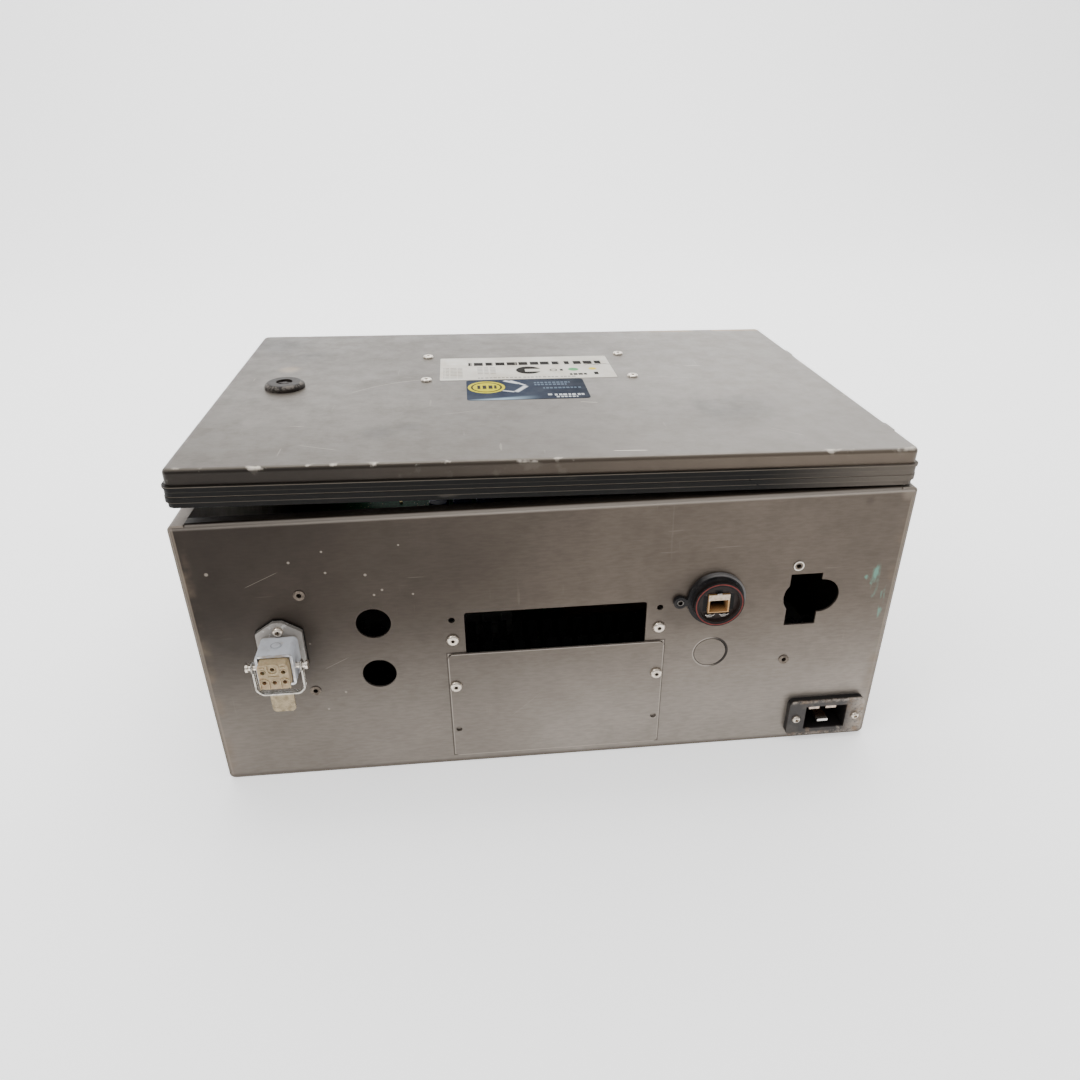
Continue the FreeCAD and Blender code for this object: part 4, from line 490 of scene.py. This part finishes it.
def seal_rubber():
    """Extruded black rubber: fold lines with painted thin highlights, a cut joint, and paler towards its
    right end.
    """
    graph = Graph("seal_rubber")
    lines = graph.noise(2200, 2, stretch=(0.01, 0.01, 1))
    dust = graph.noise(26, 5, roughness=0.7)
    scuffs = graph.step(graph.noise(75, 5, stretch=(0.25, 0.25, 1.5)), 0.62, 0.72)
    tone = graph.mix(graph.step(dust, 0.45, 0.8), (0.0032, 0.0028, 0.0022), (0.009, 0.0078, 0.0062))
    tone = graph.mix(graph.both(scuffs, 0.3), tone, (0.10, 0.087, 0.070))
    # Painted highlights along the fold lines.
    fold_highlights = graph.most(*[
        graph.both(graph.step(graph.math("ABSOLUTE", graph.math("SUBTRACT", graph.level, height)),
                                          half, half * 0.3), share)
        for height, half, share in (
            (0.2222, 0.00035, 0.9), (0.2156, 0.00035, 0.8), (0.2119, 0.0003, 0.55), (0.2186, 0.0002, 0.3),
        )
    ])
    tone = graph.mix(graph.both(fold_highlights, 0.6), tone, (0.18, 0.152, 0.122))
    # Paler towards the right end.
    right = graph.step(graph.x, 0.125, 0.236)
    tone = graph.mix(graph.both(right, 0.72), tone, (0.135, 0.113, 0.092))
    joint = graph.stroke(graph.x, graph.level, (123.5, 216.4), (137, 207.4), 0.55)
    tone = graph.mix(joint, tone, (0.002, 0.002, 0.002))
    graph.bump(graph.math("ADD", lines, scuffs), 0.2, 0.0002)
    return graph.finish(tone, graph.step(dust, 0.3, 0.8, 0.42, 0.62), 0.0, Specular_IOR_Level=0.12)


def cast_coat():
    """Blue-grey coat on the die-cast connector base, chipped to bare alloy along its edges."""
    graph = Graph("cast_coat")
    peel = graph.noise(1300, 3)
    dirt = graph.noise(120, 5, roughness=0.65)
    tone = graph.mix(graph.both(graph.step(dirt, 0.45, 0.75), 0.35), (0.50, 0.515, 0.55),
                     (0.22, 0.20, 0.175))
    plate = graph.step(graph.y, FRONT_Y - 0.0058, FRONT_Y - 0.0045)
    tone = graph.mix(plate, tone, (0.27, 0.25, 0.228))
    forward = graph.step(graph.y, FRONT_Y - 0.0236, FRONT_Y - 0.0246)
    chips = graph.both(graph.most(forward, graph.step(graph.noise(260, 4), 0.60, 0.66)),
                       graph.step(graph.noise(420, 4, shift=(1, 2, 3)), 0.46, 0.56))
    bare = graph.most(chips, graph.both(plate, 0.6))
    tone = graph.mix(graph.both(chips, 0.7), tone, (0.62, 0.60, 0.57))
    dimple = graph.ring(graph.x, graph.y, (PLUG[0], FRONT - 14.5), 3.0, 0.25)
    tone = graph.mix(graph.both(dimple, 0.5), tone, (0.10, 0.10, 0.11))
    graph.bump(peel, 0.25, 0.0003)
    return graph.finish(tone, graph.step(dirt, 0.3, 0.8, 0.32, 0.5), graph.both(bare, 0.8))


def insert_plastic():
    """Beige insert, browned by dirt in patches, and browner on its deeper face than on its raised ribs."""
    graph = Graph("insert_plastic")
    dirt = graph.noise(330, 5, roughness=0.7)
    tone = graph.mix(graph.step(dirt, 0.35, 0.75), (0.46, 0.355, 0.205), (0.25, 0.17, 0.085))
    # Browner on the deeper surfaces behind the raised ribs.
    low = graph.step(graph.y, FRONT_Y - 0.0322, FRONT_Y - 0.0310)
    tone = graph.mix(graph.both(low, 0.45), tone, (0.24, 0.175, 0.10))
    graph.bump(graph.noise(2500, 2), 0.2, 0.0001)
    return graph.finish(tone, 0.52, 0.0, Subsurface_Weight=0.05)


def inlet_plastic():
    """Black inlet flange, rubbed brown and grey along its right end, lower edge and top edge."""
    graph = Graph("inlet_plastic")
    dirt = graph.noise(90, 6, roughness=0.7)
    fine = graph.noise(340, 5, roughness=0.7)
    outside = graph.step(graph.y, FRONT_Y - 0.0035, FRONT_Y - 0.0045)
    right = graph.step(graph.math("MULTIPLY_ADD", dirt, 0.016, graph.x), 0.222, 0.238)
    edge = graph.most(graph.step(graph.z, 0.0345, 0.0372), graph.step(graph.z, 0.0095, 0.0065))
    rub = graph.most(
        graph.both(right, graph.step(fine, 0.30, 0.52)),
        graph.both(edge, graph.step(fine, 0.38, 0.66)),
        graph.both(graph.ring(graph.x, graph.z, (203.3, 8.5), 12, 1.4), graph.step(fine, 0.4, 0.7)),
    )
    worn = graph.mix(graph.step(dirt, 0.42, 0.6), (0.36, 0.31, 0.26), (0.23, 0.155, 0.095))
    tone = graph.mix(graph.step(dirt, 0.4, 0.8), (0.032, 0.028, 0.026), (0.078, 0.066, 0.057))
    tone = graph.mix(graph.both(rub, 0.85), tone, worn)
    tone = graph.mix(outside, (0.009, 0.008, 0.008), tone)
    graph.bump(graph.noise(1500, 3), 0.3, 0.0002)
    return graph.finish(tone, graph.step(dirt, 0.3, 0.8, 0.4, 0.6), 0.0, Specular_IOR_Level=0.3)


def port_plastic():
    """Black network housing: brownish dusty face, painted shade in its openings and in the groove lines round
    it, and a painted highlight on the bevelled flange rim at its upper right.
    """
    graph = Graph("port_plastic")
    dirt = graph.noise(160, 5, roughness=0.7)
    tone = graph.mix(graph.step(dirt, 0.4, 0.75), (0.012, 0.0115, 0.012), (0.028, 0.025, 0.024))
    face = graph.step(graph.y, FRONT_Y - 0.0055, FRONT_Y - 0.0062)
    tone = graph.mix(graph.both(face, 0.55), tone, (0.036, 0.022, 0.017))
    # Painted shade in the openings beside and above the jack.
    gap_shade = graph.most(
        graph.box(graph.x, graph.z, (118.4, 125), (121.6, 137.5)),
        graph.box(graph.x, graph.z, (108, 138.2), (113, 141)),
        graph.box(graph.x, graph.z, (100.4, 124.5), (103, 137)),
    )
    tone = graph.mix(graph.both(gap_shade, 0.95), tone, (0.002, 0.002, 0.002))
    # Painted shade in the groove lines round the face.
    groove_shade = graph.most(
        graph.ring(graph.x, graph.z, PORT, 14.7, 0.25), graph.ring(graph.x, graph.z, PORT, 16.8, 0.2),
    )
    tone = graph.mix(graph.both(face, groove_shade), tone, (0.004, 0.004, 0.004))
    # Painted highlight on the upper right of the bevelled flange rim.
    upper = graph.step(graph.math("ADD", graph.x, graph.z), 0.240, 0.262)
    flange = graph.both(graph.ring(graph.x, graph.z, PORT, 19.4, 0.55), upper)
    tone = graph.mix(graph.both(flange, 0.7), tone, (0.20, 0.19, 0.185))
    graph.bump(dirt, 0.2, 0.0002)
    return graph.finish(tone, graph.step(dirt, 0.3, 0.8, 0.36, 0.55), 0.0, Specular_IOR_Level=0.12)


def aged_red():
    """Dull red cord ring with painted shade along both sides."""
    graph = Graph("aged_red")
    dirt = graph.noise(300, 4, roughness=0.7)
    # Painted shade along both sides of the cord, between it and the housing.
    middle = graph.ring(graph.x, graph.z, PORT, 15.9, 0.12, 0.3)
    tone = graph.mix(graph.step(dirt, 0.4, 0.7), (0.20, 0.024, 0.018), (0.075, 0.016, 0.013))
    tone = graph.mix(middle, (0.035, 0.012, 0.011), tone)
    graph.bump(dirt, 0.2, 0.0001)
    return graph.finish(tone, 0.6, 0.0, Specular_IOR_Level=0.2)


def lock_plastic():
    """Worn black lock disc, greyed by dust on top, with a paler rubbed rim."""
    graph = Graph("lock_plastic")
    dirt = graph.noise(220, 5, roughness=0.7)
    rim = graph.ring(graph.x, graph.y, LOCK, 13.6, 0.8, 0.8)
    tone = graph.mix(graph.step(dirt, 0.35, 0.7), (0.014, 0.011, 0.009), (0.036, 0.029, 0.024))
    tone = graph.mix(graph.both(rim, graph.step(dirt, 0.4, 0.6)), tone, (0.11, 0.095, 0.080))
    graph.bump(dirt, 0.3, 0.0002)
    return graph.finish(tone, graph.step(dirt, 0.3, 0.7, 0.42, 0.56), 0.0, Specular_IOR_Level=0.18)


def aged(graph, tone, edge, darkening):
    """Yellowing, dirt in patches and fine creases over a printed colour."""
    patches = graph.noise(48, 5, roughness=0.65)
    tone = graph.multiply(tone, edge, graph.both(graph.step(patches, 0.4, 0.8), darkening))
    graph.bump(graph.noise(110, 3, stretch=(1, 0.3, 1)), 0.12, 0.0005)
    return tone, graph.step(patches, 0.3, 0.8, 0.5, 0.68)


def broken(graph, pitch, share, seed):
    """Marks of uneven width along x, without any lettering: 1 in a mark and 0 in a gap."""
    wander = graph.both(graph.noise(170, 2, stretch=(1, 0, 0), shift=(seed, 0, 0)), 1.4)
    along = graph.math("ADD", graph.math("DIVIDE", graph.x, pitch * MM), wander)
    return graph.step(graph.math("FRACT", along), share + 0.05, share - 0.05)


def label_print():
    """Cream label: a row of broken dark bars, blocks of grey lines, a round mark, small marks, a tear."""
    graph = Graph("label_print")
    ink = graph.both(graph.box(graph.x, graph.y, (-48, 45.5), (63, 54.5)), broken(graph, 9.2, 0.76, 3.1))
    rows = graph.step(graph.math("FRACT", graph.math("DIVIDE", graph.y, 3.9 * MM)), 0.52, 0.38)
    blocks = graph.most(
        graph.box(graph.x, graph.y, (-68.5, 12.5), (-53, 42)),
        graph.box(graph.x, graph.y, (-41.5, 21), (-25, 42)),
    )
    lines = graph.both(graph.both(blocks, rows), broken(graph, 5.3, 0.8, 1.7))
    under = graph.both(graph.box(graph.x, graph.y, (-41, 10.5), (38, 13.5)), broken(graph, 3.3, 0.7, 0.4))
    disc = graph.math("SUBTRACT", graph.spot(graph.x, graph.y, (0.7, 31), 10.6, 0.06),
                      graph.box(graph.x, graph.y, (-2.2, 27), (11.5, 34)))
    small = graph.most(
        graph.ring(graph.x, graph.y, (21, 30), 2.6, 0.4),
        graph.box(graph.x, graph.y, (26.3, 27.5), (28.8, 32.5)),
        graph.both(graph.box(graph.x, graph.y, (33, 15.5), (47, 20)), broken(graph, 3.9, 0.7, 2.2)),
        graph.box(graph.x, graph.y, (53, 16), (56.5, 23)),
    )
    tone = graph.mix(graph.step(graph.noise(30, 3), 0.4, 0.7), (0.60, 0.575, 0.525), (0.52, 0.49, 0.435))
    top_left = graph.box(graph.x, graph.y, (-66, 50), (-49, 64), 2)
    tone = graph.mix(graph.both(top_left, 0.5), tone, (0.70, 0.69, 0.66))
    tone = graph.mix(graph.both(graph.most(lines, under), 0.6), tone, (0.10, 0.095, 0.09))
    tone = graph.mix(graph.both(graph.most(ink, disc, small), 0.97), tone, (0.008, 0.0075, 0.0075))
    tone = graph.mix(graph.spot(graph.x, graph.y, (37.5, 31), 5, 0.3), tone, (0.10, 0.32, 0.14))
    tone = graph.mix(graph.spot(graph.x, graph.y, (53.5, 32), 4, 0.4), tone, (0.62, 0.50, 0.05))
    tear = graph.math("ABSOLUTE", graph.math("MULTIPLY_ADD", graph.noise(150, 4, stretch=(1, 0.4, 0)), 0.011,
                                             graph.math("SUBTRACT", graph.y, 0.0485)))
    torn = graph.both(graph.step(tear, 0.0011, 0.0004), graph.step(graph.x, 0.046, 0.052))
    tone = graph.mix(graph.both(torn, 0.8), tone, (0.10, 0.085, 0.07))
    tone, roughness = aged(graph, tone, (0.72, 0.65, 0.52), 0.5)
    return graph.finish(tone, roughness, 0.0, Specular_IOR_Level=0.01)


def card_print():
    """Navy card: a yellow ring badge, a pale angular figure, faint bars and a pale sweep along its foot."""
    graph = Graph("card_print")
    badge = (-35.3, -11.5)
    tone = graph.mix(graph.step(graph.x, -0.02, 0.04), (0.012, 0.020, 0.040), (0.009, 0.014, 0.026))
    sweep = graph.math("MULTIPLY_ADD", graph.x, -0.16, graph.math("SUBTRACT", graph.y, -0.0375))
    glow = graph.both(graph.step(graph.math("ABSOLUTE", sweep), 0.0065, 0.0012), graph.step(
        graph.x, 0.006, -0.03))
    tone = graph.mix(graph.both(glow, 0.75), tone, (0.36, 0.50, 0.62))
    disc = graph.spot(graph.x, graph.y, badge, 14.5, 0.04)
    tone = graph.mix(disc, tone, (0.50, 0.44, 0.006))
    tone = graph.mix(graph.ring(graph.x, graph.y, badge, 11.2, 0.6), tone, (0.02, 0.02, 0.015))
    dark = graph.both(graph.box(graph.x, graph.y, (-43, -15.5), (-27.5, -7)), broken(graph, 4.4, 0.66, 5.2))
    tone = graph.mix(dark, tone, (0.02, 0.02, 0.015))
    figure = graph.most(
        graph.stroke(graph.x, graph.y, (-22, 4.5), (-9, -4), 2.6),
        graph.stroke(graph.x, graph.y, (-17, 5), (-4, -10), 1.6),
        graph.stroke(graph.x, graph.y, (-4, -9), (-14, -25), 2.8),
        graph.stroke(graph.x, graph.y, (-14, -24), (-24, -20), 1.5),
    )
    tone = graph.mix(graph.both(figure, 0.85), tone, (0.62, 0.64, 0.66))
    faint = graph.both(graph.most(
        graph.box(graph.x, graph.y, (2, -4), (30, -1)), graph.box(graph.x, graph.y, (2, -9), (27, -6)),
        graph.box(graph.x, graph.y, (8, -17.5), (37, -14.5))), broken(graph, 3.1, 0.72, 7.7))
    tone = graph.mix(graph.both(faint, 0.6), tone, (0.13, 0.18, 0.25))
    white = graph.most(
        graph.both(graph.box(graph.x, graph.y, (15, -34.5), (38, -30.5)), broken(graph, 3.4, 0.74, 9.3)),
        graph.both(graph.box(graph.x, graph.y, (15, -38.5), (32, -36)), broken(graph, 3.0, 0.7, 4.3)),
        graph.box(graph.x, graph.y, (10, -33.5), (13, -30)),
    )
    tone = graph.mix(graph.both(white, 0.8), tone, (0.60, 0.62, 0.64))
    tone, roughness = aged(graph, tone, (0.80, 0.78, 0.74), 0.4)
    return graph.finish(tone, roughness, 0.0, Specular_IOR_Level=0.05)


def circuit_board(name, colour, copper):
    """Solder mask with traces, vias and pads as paler lines and dots."""
    graph = Graph(name)
    boxes = graph.add("ShaderNodeTexBrick")
    graph.link(graph.place, boxes.inputs["Vector"])
    boxes.inputs["Scale"].default_value = 60
    boxes.inputs["Mortar Size"].default_value = 0.03
    dots = graph.step(graph.cells(260), 0.16, 0.10)
    tone = graph.mix(graph.both(boxes.outputs["Fac"], 0.6), colour, copper)
    tone = graph.mix(graph.both(dots, 0.8), tone, (0.45, 0.40, 0.25))
    graph.bump(dots, 0.2, 0.0001)
    return graph.finish(tone, 0.5, 0.0, Specular_IOR_Level=0.06)


MATERIALS = {
    "shell_steel": panel_steel(),
    "door_steel": door_steel(),
    "bright_steel": bright_steel("fastener_steel"),
    "lever_steel": bright_steel("lever_steel", (0.80, 0.77, 0.72), 0.16, 0.2),
    "rubber_black": seal_rubber(),
    "label_paper": label_print(),
    "card_blue": card_print(),
    "lock_black": lock_plastic(),
    "cast_grey": cast_coat(),
    "insert_beige": insert_plastic(),
    "contact_brass": bright_steel("contact_brass", (0.62, 0.45, 0.20), 0.3),
    "port_black": port_plastic(),
    "ring_red": aged_red(),
    "jack_shell": jack_metal(),
    "inlet_black": inlet_plastic(),
    "plate_zinc": alloy("plate_zinc", (0.26, 0.26, 0.25)),
    "finned_alloy": alloy("finned_alloy", (0.20, 0.205, 0.21), 0.5),
    "duct_dark": plastic("duct_dark", (0.010, 0.0105, 0.011), 0.65, 0.2, (0.018, 0.017, 0.016)),
    "board_green": circuit_board("board_green", (0.007, 0.046, 0.021), (0.018, 0.095, 0.040)),
    "post_brass": bright_steel("post_brass", (0.55, 0.43, 0.22), 0.34),
    "terminal_plastic": plastic("terminal_plastic", (0.05, 0.25, 0.08), 0.42, 0.1),
    "relay_plastic": plastic("relay_plastic", (0.62, 0.42, 0.04), 0.32, 0.1),
    "capacitor_sleeve": plastic("capacitor_sleeve", (0.015, 0.025, 0.10), 0.3, 0.1),
    "fan_plastic": plastic("black_plastic", (0.022, 0.022, 0.024), 0.45),
    "lead_black": plastic("lead_black", (0.018, 0.018, 0.019), 0.5, 0.3),
    "lead_grey": plastic("lead_grey", (0.26, 0.27, 0.28), 0.45, 0.3),
}


def new_object(name, data):
    """An object with the given data, in the scene."""
    thing = bpy.data.objects.new(name, data)
    bpy.context.scene.collection.objects.link(thing)
    return thing


def dress(thing, material):
    """Give an object one material over its whole surface."""
    thing.data.materials.clear()
    thing.data.materials.append(material)


for subpart in frame["record"]["subparts"]:
    dress(nodes[subpart["node"]], MATERIALS[subpart["material_slot"]])
steel_wrap = wrap_steel()
dress(nodes["case_wrap"], steel_wrap)
dress(nodes["rear_panel"], steel_wrap)
dress(nodes["rivet_nuts"], nut_steel())
dress(nodes["inlet_blades"], blade_metal())
dress(nodes["panel_screws"], screw_steel("slot_screws", [
    (-69.25, 71.4, 1.5), (72.75, 71.4, 1.5), (-69.25, 109.9, 1.5), (72.75, 109.9, 1.5)]))
dress(nodes["inlet_screws"], screw_steel("flange_screws", [(180.8, 21.8, 0.9), (225.8, 21.8, 0.9)]))
dress(nodes["plug_screws"], screw_steel("base_screws", [(-182.6, 128.1, 1.2), (-182.6, 96.5, 1.2)]))
dress(nodes["plug_contacts"], bright_steel("dull_contacts", (0.10, 0.066, 0.034), 0.4))


# ---- detailed pieces -------------------------------------------------------------------------------


def add_piece(name, points, faces, material, body, bevel=0.12, standing_for=()):
    """A mesh in millimetres that rides on a body, with its sharp edges broken."""
    mesh = bpy.data.meshes.new(name)
    mesh.from_pydata([tuple(value * MM for value in point) for point in points], [], faces)
    mesh.validate()
    shape = bmesh.new()
    shape.from_mesh(mesh)
    bmesh.ops.recalc_face_normals(shape, faces=shape.faces)
    shape.to_mesh(mesh)
    shape.free()
    piece = new_object(name, mesh)
    dress(piece, material)
    mesh.shade_smooth()
    edges = piece.modifiers.new("edges", "BEVEL")
    edges.width = bevel * MM
    edges.segments = 2
    edges.limit_method = "ANGLE"
    edges.angle_limit = math.radians(32)
    edges.harden_normals = True
    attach(piece, body)
    if standing_for:
        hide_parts(*standing_for)
    return piece


def ribbon(path, half_width, near, far):
    """Points and faces of a strip that follows a path of (x, z), from y near to y far."""
    points = []
    for place, (x, z) in enumerate(path):
        before = path[max(place - 1, 0)]
        after = path[min(place + 1, len(path) - 1)]
        ends = [(b[0] - a[0], b[1] - a[1]) for a, b in ((before, (x, z)), ((x, z), after)) if a != b]
        units = [(dx / math.hypot(dx, dz), dz / math.hypot(dx, dz)) for dx, dz in ends]
        normal = [sum(-unit[1] for unit in units), sum(unit[0] for unit in units)]
        scale = half_width * len(units) / (normal[0] ** 2 + normal[1] ** 2)
        side = (normal[0] * scale, normal[1] * scale)
        for sign, y in ((1, near), (-1, near), (-1, far), (1, far)):
            points.append((x + sign * side[0], y, z + sign * side[1]))
    faces = [(0, 1, 2, 3), tuple(len(points) - 4 + corner for corner in (3, 2, 1, 0))]
    for section in range(len(path) - 1):
        base = 4 * section
        faces += [
            (base + corner, base + 4 + corner, base + 4 + (corner + 1) % 4, base + (corner + 1) % 4)
            for corner in range(4)
        ]
    return points, faces


def slab(outline, near, far):
    """Points and faces of a plate with an outline of (x, z), from y near to y far."""
    count = len(outline)
    points = [(x, near, z) for x, z in outline] + [(x, far, z) for x, z in outline]
    faces = [tuple(range(count)), tuple(range(2 * count - 1, count - 1, -1))]
    faces += [(k, k + count, (k + 1) % count + count, (k + 1) % count) for k in range(count)]
    return points, faces


def turned(centre, axis, profile, segments=40):
    """Points and faces of a closed ring: its profile of (along, radius) turned about an axis."""
    points = []
    for turn in range(segments):
        angle = 2 * math.pi * turn / segments
        for along, radius in profile:
            offset = [radius * math.cos(angle), radius * math.sin(angle)]
            offset.insert(axis, along)
            points.append(tuple(middle + part for middle, part in zip(centre, offset)))
    count = len(profile)
    faces = [
        (turn * count + k, turn * count + (k + 1) % count,
         (turn + 1) % segments * count + (k + 1) % count, (turn + 1) % segments * count + k)
        for turn in range(segments) for k in range(count)
    ]
    return points, faces


def joined(*shapes):
    """Several lots of points and faces as one."""
    points, faces = [], []
    for some_points, some_faces in shapes:
        faces += [tuple(index + len(points) for index in face) for face in some_faces]
        points += some_points
    return points, faces


def arc(centre, radius, start, end, steps=10):
    """Points of (x, z) along an arc between two angles in degrees."""
    angles = [math.radians(start + (end - start) * step / steps) for step in range(steps + 1)]
    return [(centre[0] + radius * math.cos(a), centre[1] + radius * math.sin(a)) for a in angles]


def bail():
    """Channel-section bail with cut corners, eyes on the pegs and a round-cornered thumb tab."""
    x, z = PLUG
    row = FRONT - 20
    path = [(x + side * across, z - down) for side, across, down in (
        (-1, 15.6, 3.2), (-1, 15.6, 17.0), (-1, 14.9, 18.6), (-1, 12.6, 20.9), (-1, 11.0, 21.6),
        (1, 11.0, 21.6), (1, 12.6, 20.9), (1, 14.9, 18.6), (1, 15.6, 17.0), (1, 15.6, 3.2))]
    shapes = [
        ribbon(path, 0.3, row - 1.9, row + 1.9),
        ribbon(path, 0.6, row - 2.0, row - 1.2),
        ribbon(path, 0.6, row + 1.2, row + 2.0),
    ]
    for side in (-1, 1):
        eye = ((-0.6, 2.2), (-0.6, 3.5), (-0.25, 3.98), (0.25, 3.98), (0.6, 3.5), (0.6, 2.2))
        shapes.append(turned((x + side * 15.6, row, z), 0, eye))
    low = z - 35.8
    outline = [
        (x - 7.6, z - 22.0), *arc((x - 4.6, low + 3), 3, 180, 270, 6),
        *arc((x + 4.6, low + 3), 3, 270, 360, 6), (x + 7.6, z - 22.0),
    ]
    shapes.append(slab(outline, row - 2.0, row - 0.9))
    shapes.append(ribbon([(x - 5.4, low + 2.6), (x + 5.4, low + 2.6)], 0.35, row - 0.9, row - 0.6))
    points, faces = joined(*shapes)
    add_piece("bail", points, faces, tab_metal(), "lever", 0.1, ("locking_lever",))


def contact_face():
    """Raised collars and ribs on the beige insert, whose own face lies a little deeper."""
    x, z = PLUG
    insert = nodes["plug_insert"]
    front = FRONT - 32.0
    mesh = insert.data.copy()
    sink = 0.8 * MM
    for vertex in mesh.vertices:
        if vertex.co.y < (front + 0.3) * MM:
            vertex.co.y += sink
    block = new_object("insert_block", mesh)
    dress(block, MATERIALS["insert_beige"])
    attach(block, "cabinet")
    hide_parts("plug_insert")
    collars = [(0, 6.0), (-6.5, 3.6), (6.5, 3.6), (0, -4.2), (-6.5, -4.2), (6.5, -4.2)]
    base, top = front + 1.0, front + 0.02
    rise = top - base
    shapes = []
    for across, up in collars:
        edge = ((0.0, 1.45), (rise + 0.25, 1.5), (rise + 0.35, 1.75), (rise + 0.35, 1.95), (0.0, 2.25))
        shapes.append(turned((x + across, base, z + up), 1, edge, 28))
    upper = [(x - 3.6, z + 9.2), *arc((x, z + 6.0), 3.6, 180, 360, 12), (x + 3.6, z + 9.2)]
    shapes.append(ribbon(upper, 0.4, top, base))
    for side in (-1, 1):
        middle = x + side * 6.5
        arch = [(middle - 2.8, z - 9.2), *arc((middle, z - 4.2), 2.8, 180, 0, 12), (middle + 2.8, z - 9.2)]
        shapes.append(ribbon(arch, 0.3, top, base))
        shapes.append(ribbon([(middle - 1.5, z + 7.2), (middle + 1.5, z + 7.2)], 0.4, top + 0.2, base))
    shapes.append(ribbon([(x - 3.4, z + 0.2), (x + 3.4, z + 0.2)], 0.25, top + 0.3, base))
    points, faces = joined(*shapes)
    add_piece("insert_ribs", points, faces, MATERIALS["insert_beige"], "cabinet", 0.08)


def port_springs():
    """Sprung retaining clips under the network jack, its small latch bump and the wire in the eyelet."""
    x, z = PORT
    floor = FRONT - 6.0
    shapes = []
    for left, right in ((-8.6, -2.2), (1.2, 7.4)):
        path = [(x + left, z - 8.4), (x + left + 0.9, z - 9.3), ((left + right) / 2 + x, z - 8.7),
                (x + right - 0.9, z - 9.3), (x + right, z - 8.3)]
        shapes.append(ribbon(path, 0.32, floor - 1.6, floor))
        foot = [(x + left + 1.4, z - 10.6), (x + right - 1.4, z - 10.6)]
        shapes.append(ribbon(foot, 0.3, floor - 0.9, floor))
    shapes.append(slab([(x - 1.9, z + 6.6), (x + 1.9, z + 6.6), (x + 1.4, z + 7.9), (x - 1.4, z + 7.9)],
                       floor - 1.7, floor))
    shapes.append(turned((x - 25.0, FRONT - 1.5, z - 1.0), 1,
                         ((-1.5, 1.75), (-1.5, 2.6), (-1.15, 2.9), (-0.9, 1.75)), 28))
    points, faces = joined(*shapes)
    add_piece("port_springs", points, faces, bright_steel("spring_steel", (0.30, 0.28, 0.26), 0.3), "cabinet",
              0.08)


bail()
contact_face()
port_springs()


# ---- stage, light and camera -----------------------------------------------------------------------


def stage():
    """A plain pale floor that sweeps up into a backdrop."""
    reach, bend_start, bend_radius, top, steps = 14.0, 1.6, 1.4, 4.2, 12
    profile = [(-reach, FLOOR), (bend_start, FLOOR)]
    for step in range(1, steps + 1):
        angle = math.radians(90 * step / steps)
        rise = bend_radius * (1 - math.cos(angle))
        profile.append((bend_start + bend_radius * math.sin(angle), FLOOR + rise))
    profile.append((bend_start + bend_radius, top))
    points = [(side * reach, along, height) for along, height in profile for side in (-1, 1)]
    faces = [(row, row + 1, row + 3, row + 2) for row in range(0, len(points) - 2, 2)]
    mesh = bpy.data.meshes.new("sweep")
    mesh.from_pydata(points, [], faces)
    mesh.shade_smooth()
    sweep = new_object("sweep", mesh)
    graph = Graph("floor_paint")
    dress(sweep, graph.finish((0.92, 0.92, 0.92), 0.95, Specular_IOR_Level=0.1, Emission_Strength=0.75))


def area_light(name, place, target, size, power):
    """A white square soft box that faces its target."""
    light = bpy.data.lights.new(name, "AREA")
    light.shape = "SQUARE"
    light.size = size
    light.energy = power
    lamp = new_object(name, light)
    lamp.location = place
    lamp.rotation_euler = (Vector(target) - Vector(place)).to_track_quat("-Z", "Y").to_euler()


def lights():
    """Soft studio light: bright above and behind, dim in front, so that upright steel stays darker."""
    world = bpy.data.worlds.new("studio")
    world.use_nodes = True
    tree = world.node_tree
    place = tree.nodes.new("ShaderNodeTexCoord")
    split = tree.nodes.new("ShaderNodeSeparateXYZ")
    tree.links.new(place.outputs["Generated"], split.inputs[0])
    rise = tree.nodes.new("ShaderNodeMapRange")
    rise.interpolation_type = "SMOOTHSTEP"
    tree.links.new(split.outputs[2], rise.inputs[0])
    for target, value in zip(rise.inputs[1:5], (0.05, 0.9, 0.42, 1.2)):
        target.default_value = value
    tree.links.new(rise.outputs[0], tree.nodes["Background"].inputs["Strength"])
    tree.nodes["Background"].inputs["Color"].default_value = (1.0, 1.0, 1.0, 1.0)
    bpy.context.scene.world = world
    area_light("overhead", (0.3, 0.9, 2.4), (0, 0.2, 0.1), 2.2, 46)
    area_light("backdrop_wash", (0.0, 0.6, 2.6), (0, 3.0, 1.2), 2.0, 50)
    area_light("left_key", (-1.3, -0.8, 1.9), (0, 0, 0.1), 0.8, 16)


def camera():
    """The view that the object is shown in, from slightly left of its middle and well above."""
    data = bpy.data.cameras.new("camera")
    data.sensor_width = 36.0
    data.lens = 26.73
    data.shift_x = 0.0120
    data.shift_y = -0.0098
    yaw, pitch, roll = 0.0764, 0.4899, -0.0189
    forward = Vector((math.sin(yaw) * math.cos(pitch), math.cos(yaw) * math.cos(pitch), -math.sin(pitch)))
    right = Vector((math.cos(yaw), -math.sin(yaw), 0.0))
    up = right.cross(forward)
    tilted_right = math.cos(roll) * right + math.sin(roll) * up
    tilted_up = math.cos(roll) * up - math.sin(roll) * right
    view = new_object("camera", data)
    turn = Matrix((tilted_right, tilted_up, -forward)).transposed()
    view.matrix_world = Matrix.Translation((-0.05167, -0.60534, 0.43160)) @ turn.to_4x4()
    bpy.context.scene.camera = view


stage()
lights()
camera()
